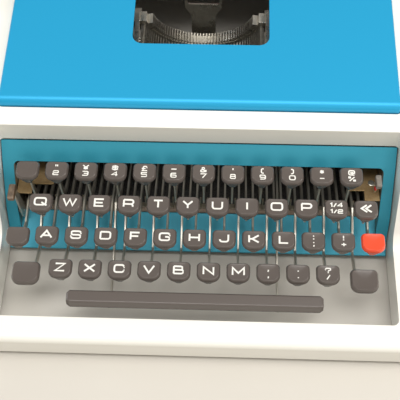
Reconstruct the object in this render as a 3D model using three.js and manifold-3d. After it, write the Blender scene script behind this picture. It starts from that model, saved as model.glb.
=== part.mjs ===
// A portable typewriter: a moulded ring body with an open bottom, a painted keyboard surround,
// a steel chassis, a type basket, a sliding carriage and one lever for each key.
// Millimetres, +Z up. X runs along the platen, the typist sits on the -Y side, and the origin is
// the middle of the footprint, on the surface that the machine stands on.

import * as THREE from "three";
import { mergeVertices } from "three/addons/utils/BufferGeometryUtils.js";
import Module from "manifold-3d";

const wasm = await Module();
wasm.setup();

// ---------------------------------------------------------------- driving dimensions

const GAP = 0.4; // running clearance between pieces that touch

// body: a ring of two cheeks, a front bar, a crossbar and a rear wall
const BODY = { halfWidth: 157, front: -172.5, back: 172.5, bottom: 2.5, wall: 3 };
const WELL = { halfWidth: 131, front: -156 }; // keyboard well, open at the top and the bottom
const BAY = { halfWidth: 131, back: 169.5 }; // bay behind the crossbar, for basket and carriage
const DECK_Z = 26; // top of the front bar and of the low cheeks
const RAMP = { foot: -97, head: -65.5 }; // where the cheeks climb to the crossbar
const CROSSBAR = { front: -48.5, back: -34.5, bottom: 69, top: 85 };
const COVER_SEAT = { back: 65, top: 90 }; // the cheeks beside the ribbon cover
const REAR_DECK_Z = 56; // the cheeks under the carriage
const FOOT = { radius: 9, x: 144, y: 150 };

// keyboard
const PITCH = 19.05; // key to key, and row to row
const ROW_RISE = 8.8; // height of one row over the next
const KEYBOARD_X = -0.5; // middle of the ten front keys
const FRONT_ROW = { y: -128.5, top: 42 };
const KEYTOP = {
  width: 15.2,
  depth: 13.2,
  height: 8.5,
  backRadius: 2.4,
  frontRadius: 5,
  sizes: [0.42, 0.9, 1, 0.87], // share of the full outline at four even levels, from the bottom
};
const SHIFT_KEYTOP = {
  width: 18,
  depth: 15.6,
  height: 7,
  backRadius: 3,
  frontRadius: 5.5,
  sizes: [0.8, 0.98, 1, 0.9],
};
const LEVER = { thickness: 1.6, height: 5 };
const FULCRUM = { y: 84, z: 11, radius: 2 }; // the rod that all the key levers turn on
const HUMP = { y: -76, z: 33 }; // the levers' highest point, where they enter the surround
const DIP = { y: -4, z: 12.5 }; // where they level out below the type basket
const SPACE_BAR = { halfWidth: 82, back: -140.5, front: -151, top: 36, bottom: 28, x: 0.5 };

// painted surround of the keyboard
const SURROUND = {
  halfWidth: 130.2,
  sheet: 1.6,
  top: [-48.6, 67.8],
  windowTop: [-57.7, 57.5],
  knee: [-79.5, 28.5],
  toe: [-88.5, 8],
  windowHalfWidth: 123,
};
const APRON = { back: [-72.5, 16], front: [-97.4, 5] }; // lower plate, in front of the window

// chassis
const SIDE_PLATE = { inner: 122.6, outer: 124.6 };
const SPOOL = { x: 95, y: 5, radius: 24, hubRadius: 16, bore: 3.4, bottom: 54, top: 70 };
const RAILS_Y = [100, 134];
const RAIL_TOP = 56;

// type basket: the bars lie in a half cylinder round an axis that runs back to the printing point
const PLATEN = { y: 100, z: 86, radius: 15.5, halfLength: 119 };
const BASKET = { tilt: THREE.MathUtils.degToRad(12), reach: 32, radius: 44, barLength: 54, bars: 44 };
const BASKET_SPREAD = THREE.MathUtils.degToRad(75);
const GUIDE_POST = { x: 54, y: 58, radius: 2.5 };

// carriage
const KNOB = { inner: 148, outer: 167, radius: 15 };
const SHAFT_RADIUS = 4;
const END_PLATE = { inner: 124, outer: 128 };
const END_COVER_OUTER = 146;
const CARRIAGE_Z = 59;
const BAIL = { y: 112, z: 92, rodY: 91.2, rodZ: 104.9, rodRadius: 1.5, rollerRadius: 5 };
const RETURN_PIVOT = { x: -137, y: 92, z: 100 };

// ribbon cover
const COVER = { halfWidth: 130, front: -33.9, back: 64, sheet: 2, frontZ: 91, backZ: 95, skirt: 83 };
const COVER_NOTCH = { halfWidth: 46, front: 14 };

// ---------------------------------------------------------------- solid helpers

/** Turns a closed geometry into a manifold solid. */
function solid(geometry) {
  const bare = geometry.clone();
  bare.deleteAttribute("normal");
  bare.deleteAttribute("uv");
  const merged = mergeVertices(bare, 1e-4);
  return new wasm.Manifold(
    new wasm.Mesh({
      numProp: 3,
      vertProperties: new Float32Array(merged.attributes.position.array),
      triVerts: new Uint32Array(merged.index.array),
    }),
  );
}

/** Turns a manifold solid back into a geometry. */
function geometryOf(body) {
  const mesh = body.getMesh();
  const geometry = new THREE.BufferGeometry();
  geometry.setAttribute("position", new THREE.BufferAttribute(mesh.vertProperties, 3));
  geometry.setIndex(new THREE.BufferAttribute(mesh.triVerts, 1));
  geometry.computeVertexNormals();
  return geometry;
}

const join = (...bodies) => bodies.reduce((sum, body) => sum.add(body));
const cut = (body, ...tools) => tools.reduce((rest, tool) => rest.subtract(tool), body);

function box(x, y, z) {
  const geometry = new THREE.BoxGeometry(x[1] - x[0], y[1] - y[0], z[1] - z[0]);
  return solid(geometry.translate((x[0] + x[1]) / 2, (y[0] + y[1]) / 2, (z[0] + z[1]) / 2));
}

/** The X range [a, b] on one side, given as distances from the middle. */
function sideSpan(side, a, b) {
  return side > 0 ? [a, b] : [-b, -a];
}

/** The same box on the +X side and on the -X side. */
function boxPair(x, y, z) {
  return [box(x, y, z), box([-x[1], -x[0]], y, z)];
}

/** A closed outline through corners [a, b, radius], with round corners drawn as short arcs. */
function outline(corners, steps = 3) {
  const points = [];
  corners.forEach(([a, b, radius = 0], index) => {
    const corner = new THREE.Vector2(a, b);
    if (radius === 0) {
      points.push(corner);
      return;
    }
    const before = corners[(index + corners.length - 1) % corners.length];
    const after = corners[(index + 1) % corners.length];
    const back = new THREE.Vector2(before[0], before[1]).sub(corner).normalize();
    const ahead = new THREE.Vector2(after[0], after[1]).sub(corner).normalize();
    const half = Math.acos(THREE.MathUtils.clamp(back.dot(ahead), -1, 1)) / 2;
    const reach = radius / Math.tan(half);
    const start = corner.clone().addScaledVector(back, reach);
    const end = corner.clone().addScaledVector(ahead, reach);
    const curve = new THREE.QuadraticBezierCurve(start, corner, end);
    points.push(...curve.getPoints(steps));
  });
  return new THREE.Shape(points);
}

function extrude(shape, depth, steps = 1) {
  return new THREE.ExtrudeGeometry(shape, { depth, steps, bevelEnabled: false, curveSegments: 4 });
}

/** Extrudes a [y, z] outline along X. */
function extrudeX(shape, x0, x1) {
  const axes = new THREE.Matrix4().makeBasis(
    new THREE.Vector3(0, 1, 0),
    new THREE.Vector3(0, 0, 1),
    new THREE.Vector3(1, 0, 0),
  );
  return solid(extrude(shape, x1 - x0).applyMatrix4(axes).translate(x0, 0, 0));
}

function cylinderX(y, z, radius, x0, x1, sides = 12) {
  const geometry = new THREE.CylinderGeometry(radius, radius, x1 - x0, sides);
  return solid(geometry.rotateZ(Math.PI / 2).translate((x0 + x1) / 2, y, z));
}

function cylinderZ(x, y, radius, z0, z1, sides = 12) {
  const geometry = new THREE.CylinderGeometry(radius, radius, z1 - z0, sides);
  return solid(geometry.rotateX(Math.PI / 2).translate(x, y, (z0 + z1) / 2));
}

/** A bent strip: a [y, z] centre line thickened by half on each side, as an extruded outline. */
function strip(line, half) {
  const upper = [];
  const lower = [];
  line.forEach((point, index) => {
    const here = new THREE.Vector2(...point);
    const before = new THREE.Vector2(...line[Math.max(index - 1, 0)]);
    const after = new THREE.Vector2(...line[Math.min(index + 1, line.length - 1)]);
    const along = after.sub(before).normalize();
    const across = new THREE.Vector2(-along.y, along.x);
    upper.push(here.clone().addScaledVector(across, half));
    lower.unshift(here.clone().addScaledVector(across, -half));
  });
  return new THREE.Shape([...upper, ...lower]);
}

// ---------------------------------------------------------------- scene graph

const PAINT = {
  white: { color: 0xecebe4, roughness: 0.42, metalness: 0 },
  blue: { color: 0x0798cf, roughness: 0.22, metalness: 0 },
  teal: { color: 0x0f86a8, roughness: 0.3, metalness: 0 },
  steel: { color: 0x9a9488, roughness: 0.35, metalness: 1 },
  key: { color: 0x4b4340, roughness: 0.4, metalness: 0 },
  red: { color: 0xe8452e, roughness: 0.35, metalness: 0 },
  rubber: { color: 0x1f1f20, roughness: 0.8, metalness: 0 },
};

const typewriter = new THREE.Group();

function addPart(name, body, look) {
  const mesh = new THREE.Mesh(geometryOf(body), new THREE.MeshStandardMaterial(PAINT[look]));
  mesh.name = name;
  typewriter.add(mesh);
}

// ---------------------------------------------------------------- body shell

/** Side outline of the body, grown inwards by an inset. */
function cheekOutline(inset) {
  const front = BODY.front + inset;
  const back = BODY.back - inset;
  const bottom = inset > 0 ? -1 : BODY.bottom;
  return outline([
    [front, bottom],
    [front, DECK_Z - inset, 5],
    [RAMP.foot + inset * 0.6, DECK_Z - inset, 12],
    [RAMP.head + inset * 0.6, CROSSBAR.top - inset, 10],
    [CROSSBAR.back, CROSSBAR.top - inset],
    [COVER_SEAT.back - inset, COVER_SEAT.top - inset, 3],
    [COVER_SEAT.back - inset, REAR_DECK_Z - inset, 3],
    [back, REAR_DECK_Z - inset, 8],
    [back, bottom],
  ]);
}

function bodyShell() {
  const across = [-BODY.halfWidth, BODY.halfWidth];
  const ring = extrudeX(cheekOutline(0), ...across);
  const well = box(
    [-WELL.halfWidth, WELL.halfWidth],
    [WELL.front, CROSSBAR.front],
    [-1, CROSSBAR.top + 10],
  );
  const underCrossbar = box(
    [-WELL.halfWidth, WELL.halfWidth],
    [CROSSBAR.front - 1, CROSSBAR.back + 1],
    [-1, CROSSBAR.bottom],
  );
  const bay = box(
    [-BAY.halfWidth, BAY.halfWidth],
    [CROSSBAR.back, BAY.back],
    [-1, COVER_SEAT.top + 10],
  );
  const crossbarHollow = box(
    [-WELL.halfWidth, WELL.halfWidth],
    [CROSSBAR.front + BODY.wall, CROSSBAR.back - BODY.wall],
    [CROSSBAR.bottom - 1, CROSSBAR.top - BODY.wall],
  );
  const innerWall = BAY.halfWidth + BODY.wall;
  const outerWall = BODY.halfWidth - BODY.wall;
  const rightHollow = extrudeX(cheekOutline(BODY.wall), innerWall, outerWall);
  const leftHollow = extrudeX(cheekOutline(BODY.wall), -outerWall, -innerWall);
  const frontHollow = box(
    [-innerWall, innerWall],
    [BODY.front + BODY.wall, WELL.front - BODY.wall],
    [-1, DECK_Z - BODY.wall],
  );
  const hollows = [crossbarHollow, frontHollow, rightHollow, leftHollow];
  const shell = cut(ring, well, underCrossbar, bay, ...hollows);
  return join(shell, ...footBosses(innerWall, outerWall));
}

/** Four bosses inside the cheeks, each with the round foot that the machine stands on. */
function footBosses(innerWall, outerWall) {
  const bosses = [];
  for (const y of [-FOOT.y, FOOT.y]) {
    const block = [y - FOOT.radius, y + FOOT.radius];
    bosses.push(...boxPair([innerWall - 1, outerWall + 1], block, [BODY.bottom, 8]));
    for (const x of [-FOOT.x, FOOT.x]) {
      bosses.push(cylinderZ(x, y, FOOT.radius, 0, BODY.bottom + 1, 16));
    }
  }
  return bosses;
}

addPart("body_shell", bodyShell(), "white");

// ---------------------------------------------------------------- chassis

/** The sloped sheet round the keyboard window, and the apron in front of it. */
function surround() {
  const half = SURROUND.sheet / 2;
  const line = [SURROUND.top, SURROUND.windowTop, SURROUND.knee, SURROUND.toe];
  const panel = extrudeX(strip(line, half), -SURROUND.halfWidth, SURROUND.halfWidth);
  const window = box(
    [-SURROUND.windowHalfWidth, SURROUND.windowHalfWidth],
    [-100, SURROUND.windowTop[0]],
    [0, SURROUND.windowTop[1]],
  );
  const apron = extrudeX(
    strip([APRON.back, APRON.front], half),
    -SURROUND.halfWidth,
    SURROUND.halfWidth,
  );
  return join(cut(panel, window), apron);
}

function sidePlates() {
  const shape = outline([
    [-85, 8],
    SURROUND.knee,
    [-58.5, RAIL_TOP],
    [150, RAIL_TOP],
    [150, 4],
    [-70, 4],
  ]);
  const { inner, outer } = SIDE_PLATE;
  return [extrudeX(shape, inner, outer), extrudeX(shape, -outer, -inner)];
}

/** Everything that runs from side plate to side plate. */
function crossMembers() {
  const across = [-SIDE_PLATE.inner - 1, SIDE_PLATE.inner + 1];
  return [
    box(across, [-69, -65], [8, 16.5]), // comb bar below the levers
    cylinderX(FULCRUM.y, FULCRUM.z, FULCRUM.radius, ...across),
    box(across, [52, 64], [16, 21]), // beam that carries the type basket's guides
    ...RAILS_Y.map((y) => box(across, [y - 4, y + 4], [49, RAIL_TOP])), // carriage rails
  ];
}

function spoolPlatforms() {
  const parts = boxPair([66, SIDE_PLATE.outer], [-24, 34], [50, 52]);
  for (const x of [-SPOOL.x, SPOOL.x]) {
    parts.push(cylinderZ(x, SPOOL.y, SPOOL.bore - GAP, 51, SPOOL.top + 3, 12));
  }
  return parts;
}

const SIDE_LEVERS = {
  // hand levers at the two ends of the keyboard window
  selector: { x: 118.9, pivotY: -62, pivotZ: 24, tabY: [-72, -63], tabX: [117.1, 121] },
  tabSet: { x: -119.9, pivotY: -78, pivotZ: 24, tabY: [-87, -76], tabX: [-123.4, -118.9] },
};

function guidesAndPins() {
  const parts = [];
  for (const x of [-GUIDE_POST.x, GUIDE_POST.x]) {
    parts.push(cylinderZ(x, GUIDE_POST.y, GUIDE_POST.radius, 20, 80, 10));
  }
  for (const { x, pivotY, pivotZ } of Object.values(SIDE_LEVERS)) {
    const end = Math.sign(x) * (SIDE_PLATE.inner + 1);
    const tip = x - Math.sign(x) * 1.2;
    parts.push(cylinderX(pivotY, pivotZ, 1.5, Math.min(end, tip), Math.max(end, tip), 10));
  }
  return parts;
}

addPart(
  "chassis",
  join(surround(), ...sidePlates(), ...crossMembers(), ...spoolPlatforms(), ...guidesAndPins()),
  "teal",
);

/** A hand lever on a pin: a flat arm with a broad thumb tab on top. */
function handLever({ x, pivotY, pivotZ, tabY, tabX }) {
  const arm = outline([
    [pivotY - 4, pivotZ - 4, 3],
    [pivotY + 4, pivotZ - 4, 3],
    [pivotY + 4, pivotZ + 5],
    [tabY[1] - 1, 54],
    [tabY[1] - 6, 54],
    [pivotY - 4, pivotZ + 5],
  ]);
  const hole = new THREE.Path().absarc(pivotY, pivotZ, 1.5 + GAP, 0, 2 * Math.PI, true);
  arm.holes.push(hole);
  return join(extrudeX(arm, x - 0.7, x + 0.7), box(tabX, tabY, [53, 57]));
}

addPart("ribbon_selector", handLever(SIDE_LEVERS.selector), "steel");
addPart("tab_set_lever", handLever(SIDE_LEVERS.tabSet), "steel");

// ---------------------------------------------------------------- ribbon spools

function ribbonSpool(x) {
  const { radius, hubRadius, bore, bottom, top } = SPOOL;
  const profile = [
    [bore, bottom],
    [radius, bottom],
    [radius, bottom + 1.2],
    [hubRadius, bottom + 1.2],
    [hubRadius, top - 1.2],
    [radius, top - 1.2],
    [radius, top],
    [bore, top],
    [bore, bottom],
  ].map(([r, z]) => new THREE.Vector2(r, z));
  const lathe = new THREE.LatheGeometry(profile, 24).rotateX(Math.PI / 2);
  return solid(lathe.translate(x, SPOOL.y, 0));
}

addPart("spool_left", ribbonSpool(-SPOOL.x), "steel");
addPart("spool_right", ribbonSpool(SPOOL.x), "steel");

// ---------------------------------------------------------------- type basket

/** Places a geometry given in basket terms: across, down from the axis, along the axis. */
function inBasket(geometry) {
  const { tilt, reach } = BASKET;
  const across = new THREE.Vector3(1, 0, 0);
  const down = new THREE.Vector3(0, Math.sin(tilt), -Math.cos(tilt));
  const along = new THREE.Vector3(0, Math.cos(tilt), Math.sin(tilt));
  const centre = new THREE.Vector3(0, PLATEN.y - PLATEN.radius, PLATEN.z);
  centre.addScaledVector(along, -reach);
  const frame = new THREE.Matrix4().makeBasis(across, down, along).setPosition(centre);
  return solid(geometry.applyMatrix4(frame));
}

/** Half ring round the basket axis, between two radii and two stations along the axis. */
function halfRing(inner, outer, from, to, spread) {
  const shape = new THREE.Shape();
  shape.absarc(0, 0, outer, Math.PI / 2 - spread, Math.PI / 2 + spread, false);
  shape.absarc(0, 0, inner, Math.PI / 2 + spread, Math.PI / 2 - spread, true);
  const geometry = new THREE.ExtrudeGeometry(shape, {
    depth: to - from,
    bevelEnabled: false,
    curveSegments: 14,
  });
  return inBasket(geometry.translate(0, 0, from));
}

/** A flat piece at an angle round the basket axis, from a [station, radius] outline. */
function basketPlate(angle, points, width) {
  const shape = new THREE.Shape(points.map(([station, r]) => new THREE.Vector2(station, r)));
  const plate = extrude(shape, width).translate(0, 0, -width / 2).rotateY(-Math.PI / 2);
  return inBasket(plate.rotateZ(-angle));
}

function typeBasket() {
  const { radius, barLength, bars } = BASKET;
  const armAngle = BASKET_SPREAD + 0.14;
  const parts = [
    ...guideLugs(),
    halfRing(radius - 8, radius + 5, -4, 4, armAngle), // slotted segment
    halfRing(radius + 1, radius + 3.5, -44, -38, armAngle), // padded rest for the bars
  ];
  for (const side of [-1, 1]) {
    const [low, high] = [radius + 1, radius + 4];
    parts.push(basketPlate(side * armAngle, [[-44, low], [3, low], [3, high], [-44, high]], 3));
  }
  const slugTip = -barLength - 2;
  const bar = [
    [-2, radius + 1.5],
    [slugTip, radius + 1.5],
    [slugTip, radius - 3.5],
    [slugTip + 5, radius - 3.5],
    [slugTip + 5, radius - 1.5],
    [-2, radius - 1.5],
  ];
  for (let index = 0; index < bars; index += 1) {
    const angle = BASKET_SPREAD * ((2 * index) / (bars - 1) - 1);
    parts.push(basketPlate(angle, bar, 1.5));
  }
  const posts = [-1, 1].map((side) =>
    cylinderZ(side * GUIDE_POST.x, GUIDE_POST.y, GUIDE_POST.radius + GAP, 40, 90, 10),
  );
  return cut(join(...parts), ...posts);
}

/** The two lugs that slide on the guide posts. */
function guideLugs() {
  return boxPair([44, 59], [52, 64], [66, 72]);
}

addPart("type_basket", typeBasket(), "steel");

// ---------------------------------------------------------------- carriage

function carriage() {
  const parts = [box([-143, 143], [86, 152], [CARRIAGE_Z, 62])];
  parts.push(box([-143, 143], [150, BODY.back], [CARRIAGE_Z, 64]));
  const plate = outline([
    [86, CARRIAGE_Z],
    [86, 92, 8],
    [96, 97.5, 4],
    [120, 97.5, 4],
    [124, CARRIAGE_Z],
  ]);
  const cover = outline([
    [82, CARRIAGE_Z + 3, 3],
    [82, RETURN_PIVOT.z, 9],
    [128, RETURN_PIVOT.z, 9],
    [128, CARRIAGE_Z + 3, 3],
  ]);
  const table = strip([[125, 60], [125, 80], [168, 105]], 1);
  parts.push(extrudeX(table, -120, 120));
  const bores = [cylinderX(PLATEN.y, PLATEN.z, SHAFT_RADIUS + GAP, -150, 150, 16)];
  for (const side of [-1, 1]) {
    parts.push(extrudeX(plate, ...sideSpan(side, END_PLATE.inner, END_PLATE.outer)));
    parts.push(extrudeX(cover, ...sideSpan(side, END_PLATE.outer - 0.5, END_COVER_OUTER)));
    const pivot = sideSpan(side, END_PLATE.inner - 1, END_PLATE.outer + 2);
    bores.push(cylinderX(BAIL.y, BAIL.z, BAIL.rodRadius + GAP, ...pivot, 10));
  }
  parts.push(cylinderZ(RETURN_PIVOT.x, RETURN_PIVOT.y, 3, RETURN_PIVOT.z - 2, RETURN_PIVOT.z + 4));
  return cut(join(...parts), ...bores);
}

addPart("carriage", carriage(), "blue");

/** Roller, shaft and the two knobs, which turn as one. */
function platen() {
  const half = [
    [0, KNOB.outer],
    [KNOB.radius - 2, KNOB.outer],
    [KNOB.radius, KNOB.outer - 2],
    [KNOB.radius, KNOB.inner],
    [SHAFT_RADIUS, KNOB.inner],
    [SHAFT_RADIUS, PLATEN.halfLength],
    [PLATEN.radius, PLATEN.halfLength],
  ];
  const mirrored = half.map(([r, x]) => [r, -x]).reverse();
  const profile = [...half, ...mirrored].map(([r, x]) => new THREE.Vector2(r, -x));
  const lathe = new THREE.LatheGeometry(profile, 28);
  return solid(lathe.rotateZ(Math.PI / 2).translate(0, PLATEN.y, PLATEN.z));
}

addPart("platen", platen(), "rubber");

function paperBail() {
  const arm = strip([[BAIL.y + 3, BAIL.z - 1.9], [BAIL.rodY - 2, BAIL.rodZ + 1.2]], 3);
  const parts = [cylinderX(BAIL.rodY, BAIL.rodZ, BAIL.rodRadius, -121, 121, 10)];
  for (const side of [-1, 1]) {
    const pivot = sideSpan(side, 121, END_PLATE.outer);
    parts.push(extrudeX(arm, ...sideSpan(side, 120.4, 122.4)));
    parts.push(cylinderX(BAIL.y, BAIL.z, BAIL.rodRadius, ...pivot, 10));
    parts.push(cylinderX(BAIL.rodY, BAIL.rodZ, BAIL.rollerRadius, ...sideSpan(side, 40, 52), 16));
  }
  return join(...parts);
}

addPart("paper_bail", paperBail(), "steel");

/** Chromed lever on the left end: a ring on its pivot, an arm and a raised thumb piece. */
function returnLever() {
  const { x, y, z } = RETURN_PIVOT;
  const arm = new THREE.Shape().absarc(0, 0, 7, 0, Math.PI, false);
  arm.lineTo(-4.5, -50);
  arm.lineTo(4.5, -50);
  const eye = new THREE.Path().absarc(0, 0, 3 + GAP, 0, 2 * Math.PI, true);
  arm.holes.push(eye);
  const thumb = new THREE.BoxGeometry(9, 2, 8.6).translate(0, -49, 4.3);
  const lever = join(solid(extrude(arm, 2)), solid(thumb));
  const swing = new THREE.Matrix4().makeRotationZ(THREE.MathUtils.degToRad(-25));
  const placed = geometryOf(lever).applyMatrix4(swing).translate(x, y, z + GAP);
  placed.deleteAttribute("normal");
  return solid(placed);
}

addPart("return_lever", returnLever(), "steel");

// ---------------------------------------------------------------- ribbon cover

function coverOutline(inset) {
  const { front, back, frontZ, backZ, skirt } = COVER;
  return outline([
    [front + inset, skirt - (inset > 0 ? 2 : 0)],
    [front + inset, frontZ - inset, 4.5 - inset],
    [back + (inset > 0 ? 2 : 0), backZ - inset],
    [back + (inset > 0 ? 2 : 0), skirt - (inset > 0 ? 2 : 0)],
  ]);
}

function ribbonCover() {
  const { halfWidth, sheet, back, backZ } = COVER;
  const outer = extrudeX(coverOutline(0), -halfWidth, halfWidth);
  const inner = extrudeX(coverOutline(sheet), -halfWidth + sheet, halfWidth - sheet);
  const notch = box(
    [-COVER_NOTCH.halfWidth, COVER_NOTCH.halfWidth],
    [COVER_NOTCH.front, back + 5],
    [70, backZ + 5],
  );
  return cut(outer, inner, notch);
}

addPart("ribbon_cover", ribbonCover(), "blue");

// ---------------------------------------------------------------- keys

/** A keytop: flat back, well rounded front corners, a bowl below that narrows to its socket. */
function keytop(x, y, top, { width, depth, height, backRadius, frontRadius, sizes }) {
  const shape = outline(
    [
      [-width / 2, -depth / 2, frontRadius],
      [width / 2, -depth / 2, frontRadius],
      [width / 2, depth / 2, backRadius],
      [-width / 2, depth / 2, backRadius],
    ],
    2,
  );
  const bands = sizes.length - 1;
  const geometry = extrude(shape, height, bands);
  const position = geometry.attributes.position;
  for (let i = 0; i < position.count; i += 1) {
    const size = sizes[Math.round((position.getZ(i) / height) * bands)];
    position.setX(i, position.getX(i) * size);
    position.setY(i, position.getY(i) * size);
  }
  return solid(geometry.translate(x, y, top - height));
}

/** Lever centre line from its front end to the fulcrum, and the stem up into the keytop. */
function keyLever(x, stemY, stemTop, front) {
  const half = LEVER.height / 2;
  const line = [...front, [HUMP.y + 16, HUMP.z - 4], [DIP.y, DIP.z], [FULCRUM.y - 3.5, FULCRUM.z]];
  const side = [x - LEVER.thickness / 2, x + LEVER.thickness / 2];
  const stem = outline([
    [stemY - 2, front[0][1] - 1],
    [stemY + 2, front[0][1] - 1],
    [stemY + 2, stemTop],
    [stemY - 2, stemTop],
  ]);
  return join(extrudeX(strip(line, half), ...side), extrudeX(stem, ...side), hook(side));
}

/** The lever's rear end: an open hook that sits over the fulcrum rod. */
function hook(side) {
  const { y, z, radius } = FULCRUM;
  const slot = radius + GAP;
  const shape = new THREE.Shape();
  shape.moveTo(y - 5, z - 2.5);
  shape.lineTo(y - slot, z - 2.5);
  shape.lineTo(y - slot, z + 0.6);
  shape.lineTo(y - slot * 0.6, z + slot);
  shape.lineTo(y + slot * 0.6, z + slot);
  shape.lineTo(y + slot, z + 0.6);
  shape.lineTo(y + slot, z - 2.5);
  shape.lineTo(y + 4.5, z - 2.5);
  shape.lineTo(y + 4.5, z + 4.2);
  shape.lineTo(y - 5, z + 4.2);
  return extrudeX(shape, ...side);
}

const HUMP_POINT = [HUMP.y, HUMP.z];

/** Rows from the back: key names, first key's slot, and the front of the lever centre line. */
const ROWS = [
  {
    row: 1,
    names: "margin 2 3 4 5 6 7 8 9 0 hyphen at",
    first: -1.25,
    line: [[-73, 35]],
  },
  {
    row: 2,
    names: "q w e r t y u i o p half backspace",
    first: -0.75,
    line: [[-91.5, 46], HUMP_POINT],
  },
  {
    row: 3,
    names: "a s d f g h j k l semicolon plus tab",
    first: -0.5,
    line: [[-110.5, 38], [-92, 31], HUMP_POINT],
  },
  {
    row: 4,
    names: "z x c v b n m comma stop slash",
    first: 0,
    line: [[-129.5, 31], [-104, 22], HUMP_POINT],
  },
];
const KEYS_IN_FRONT_ROW = 10;

const slotX = (first, index) => KEYBOARD_X + PITCH * (first + index - (KEYS_IN_FRONT_ROW - 1) / 2);
const rowY = (row) => FRONT_ROW.y + PITCH * (4 - row);
const rowTop = (row) => FRONT_ROW.top + ROW_RISE * (4 - row);

for (const { row, first, line, names } of ROWS) {
  names.split(" ").forEach((name, index) => {
    const x = slotX(first, index);
    const y = rowY(row);
    const top = rowTop(row);
    const lever = keyLever(x, y, top - KEYTOP.height + 1, line);
    const look = name === "tab" ? "red" : "key";
    addPart(`key_${name}`, join(keytop(x, y, top, KEYTOP), lever), look);
  });
}

/** Both shift keys and the shift lock, on three levers that one cross rod ties together. */
function shiftBail() {
  const frontLine = ROWS[3].line;
  const lockLine = ROWS[2].line;
  const leftX = slotX(0, -1);
  const rightX = slotX(0, KEYS_IN_FRONT_ROW);
  const lockX = slotX(-1.5, 0);
  const keyX = 108.2; // the broad keytops sit outboard of their levers
  const keyY = FRONT_ROW.y - 3.5;
  const parts = [];
  for (const [x, capX] of [[leftX, -keyX], [rightX, keyX]]) {
    parts.push(keytop(capX, keyY, FRONT_ROW.top, SHIFT_KEYTOP));
    parts.push(keyLever(x, keyY + 2, FRONT_ROW.top - SHIFT_KEYTOP.height + 1, frontLine));
  }
  const lockTop = rowTop(3) - 1;
  const lockY = rowY(3) - 0.5;
  parts.push(keytop(lockX, lockY, lockTop, KEYTOP));
  parts.push(keyLever(lockX, lockY, lockTop - KEYTOP.height + 1, lockLine));
  const hookEnd = FULCRUM.y + 2.4;
  const tieY = FULCRUM.y + 8; // behind the fulcrum, clear of the other levers
  for (const x of [leftX, rightX, lockX]) {
    parts.push(box([x - 0.8, x + 0.8], [hookEnd, tieY + 2], [4, FULCRUM.z + 2]));
  }
  parts.push(cylinderX(tieY, 5, 1.8, lockX - 0.8, rightX + 0.8, 8));
  return join(...parts);
}

addPart("shift_bail", shiftBail(), "key");

function spaceBar() {
  const { halfWidth, back, front, top, bottom, x } = SPACE_BAR;
  const section = outline([
    [front, bottom, 1.5],
    [front + 1.7, top, 1.5],
    [back - 0.8, top, 1],
    [back, bottom, 1],
  ]);
  const parts = [extrudeX(section, x - halfWidth, x + halfWidth)];
  const line = [[-146.5, 24], [-137, 17.5], [-118, 17.5], [-104, 20.5], HUMP_POINT];
  for (const slot of [1.625, 7.375]) {
    parts.push(keyLever(slotX(slot, 0), -145.5, bottom + 2, line)); // between two key levers
  }
  return join(...parts);
}

addPart("space_bar", spaceBar(), "key");

export default typewriter;
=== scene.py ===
"""Looks of a portable typewriter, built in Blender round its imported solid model.

Lengths in this file are millimetres in the machine's own frame, unless a name says otherwise: +X to
the typist's right, +Y towards the carriage, +Z up, origin on the table under the middle. Meshes
are turned into metres when a piece is made.
"""

from __future__ import annotations

import logging
import math
from dataclasses import dataclass, field
from enum import Enum
from typing import Any, Callable, ClassVar, Sequence

import bmesh
import bpy
from mathutils import Matrix, Vector

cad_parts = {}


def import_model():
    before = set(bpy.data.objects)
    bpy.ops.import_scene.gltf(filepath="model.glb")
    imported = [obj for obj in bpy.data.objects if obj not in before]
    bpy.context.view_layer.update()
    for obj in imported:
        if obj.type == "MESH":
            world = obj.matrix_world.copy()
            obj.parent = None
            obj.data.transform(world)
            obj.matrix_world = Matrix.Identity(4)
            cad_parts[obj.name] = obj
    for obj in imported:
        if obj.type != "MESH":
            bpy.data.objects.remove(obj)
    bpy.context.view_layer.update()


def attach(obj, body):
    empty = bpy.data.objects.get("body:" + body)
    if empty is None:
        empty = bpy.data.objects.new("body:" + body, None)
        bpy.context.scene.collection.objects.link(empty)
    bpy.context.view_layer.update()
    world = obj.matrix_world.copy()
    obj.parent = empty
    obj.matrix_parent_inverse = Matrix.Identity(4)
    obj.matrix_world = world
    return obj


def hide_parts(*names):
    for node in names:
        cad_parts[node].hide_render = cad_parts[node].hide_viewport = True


MM = 0.001
LOG = logging.getLogger("typewriter")

Pair = tuple[float, float]
Triple = tuple[float, float, float]
Colour = tuple[float, float, float]
Surface = Callable[[float, float], Triple]

SIDES = ((-1, "left"), (1, "right"))


# ---- outlines and paths


class Plane(Enum):
    """Plane that an outline lies in: its two axes, then the axis it is pushed along."""

    YZ = (1, 2, 0)
    XZ = (0, 2, 1)
    XY = (0, 1, 2)


STRAIGHT = 0.02  # radians: a corner that turns by less than twice this stays a point


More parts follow.
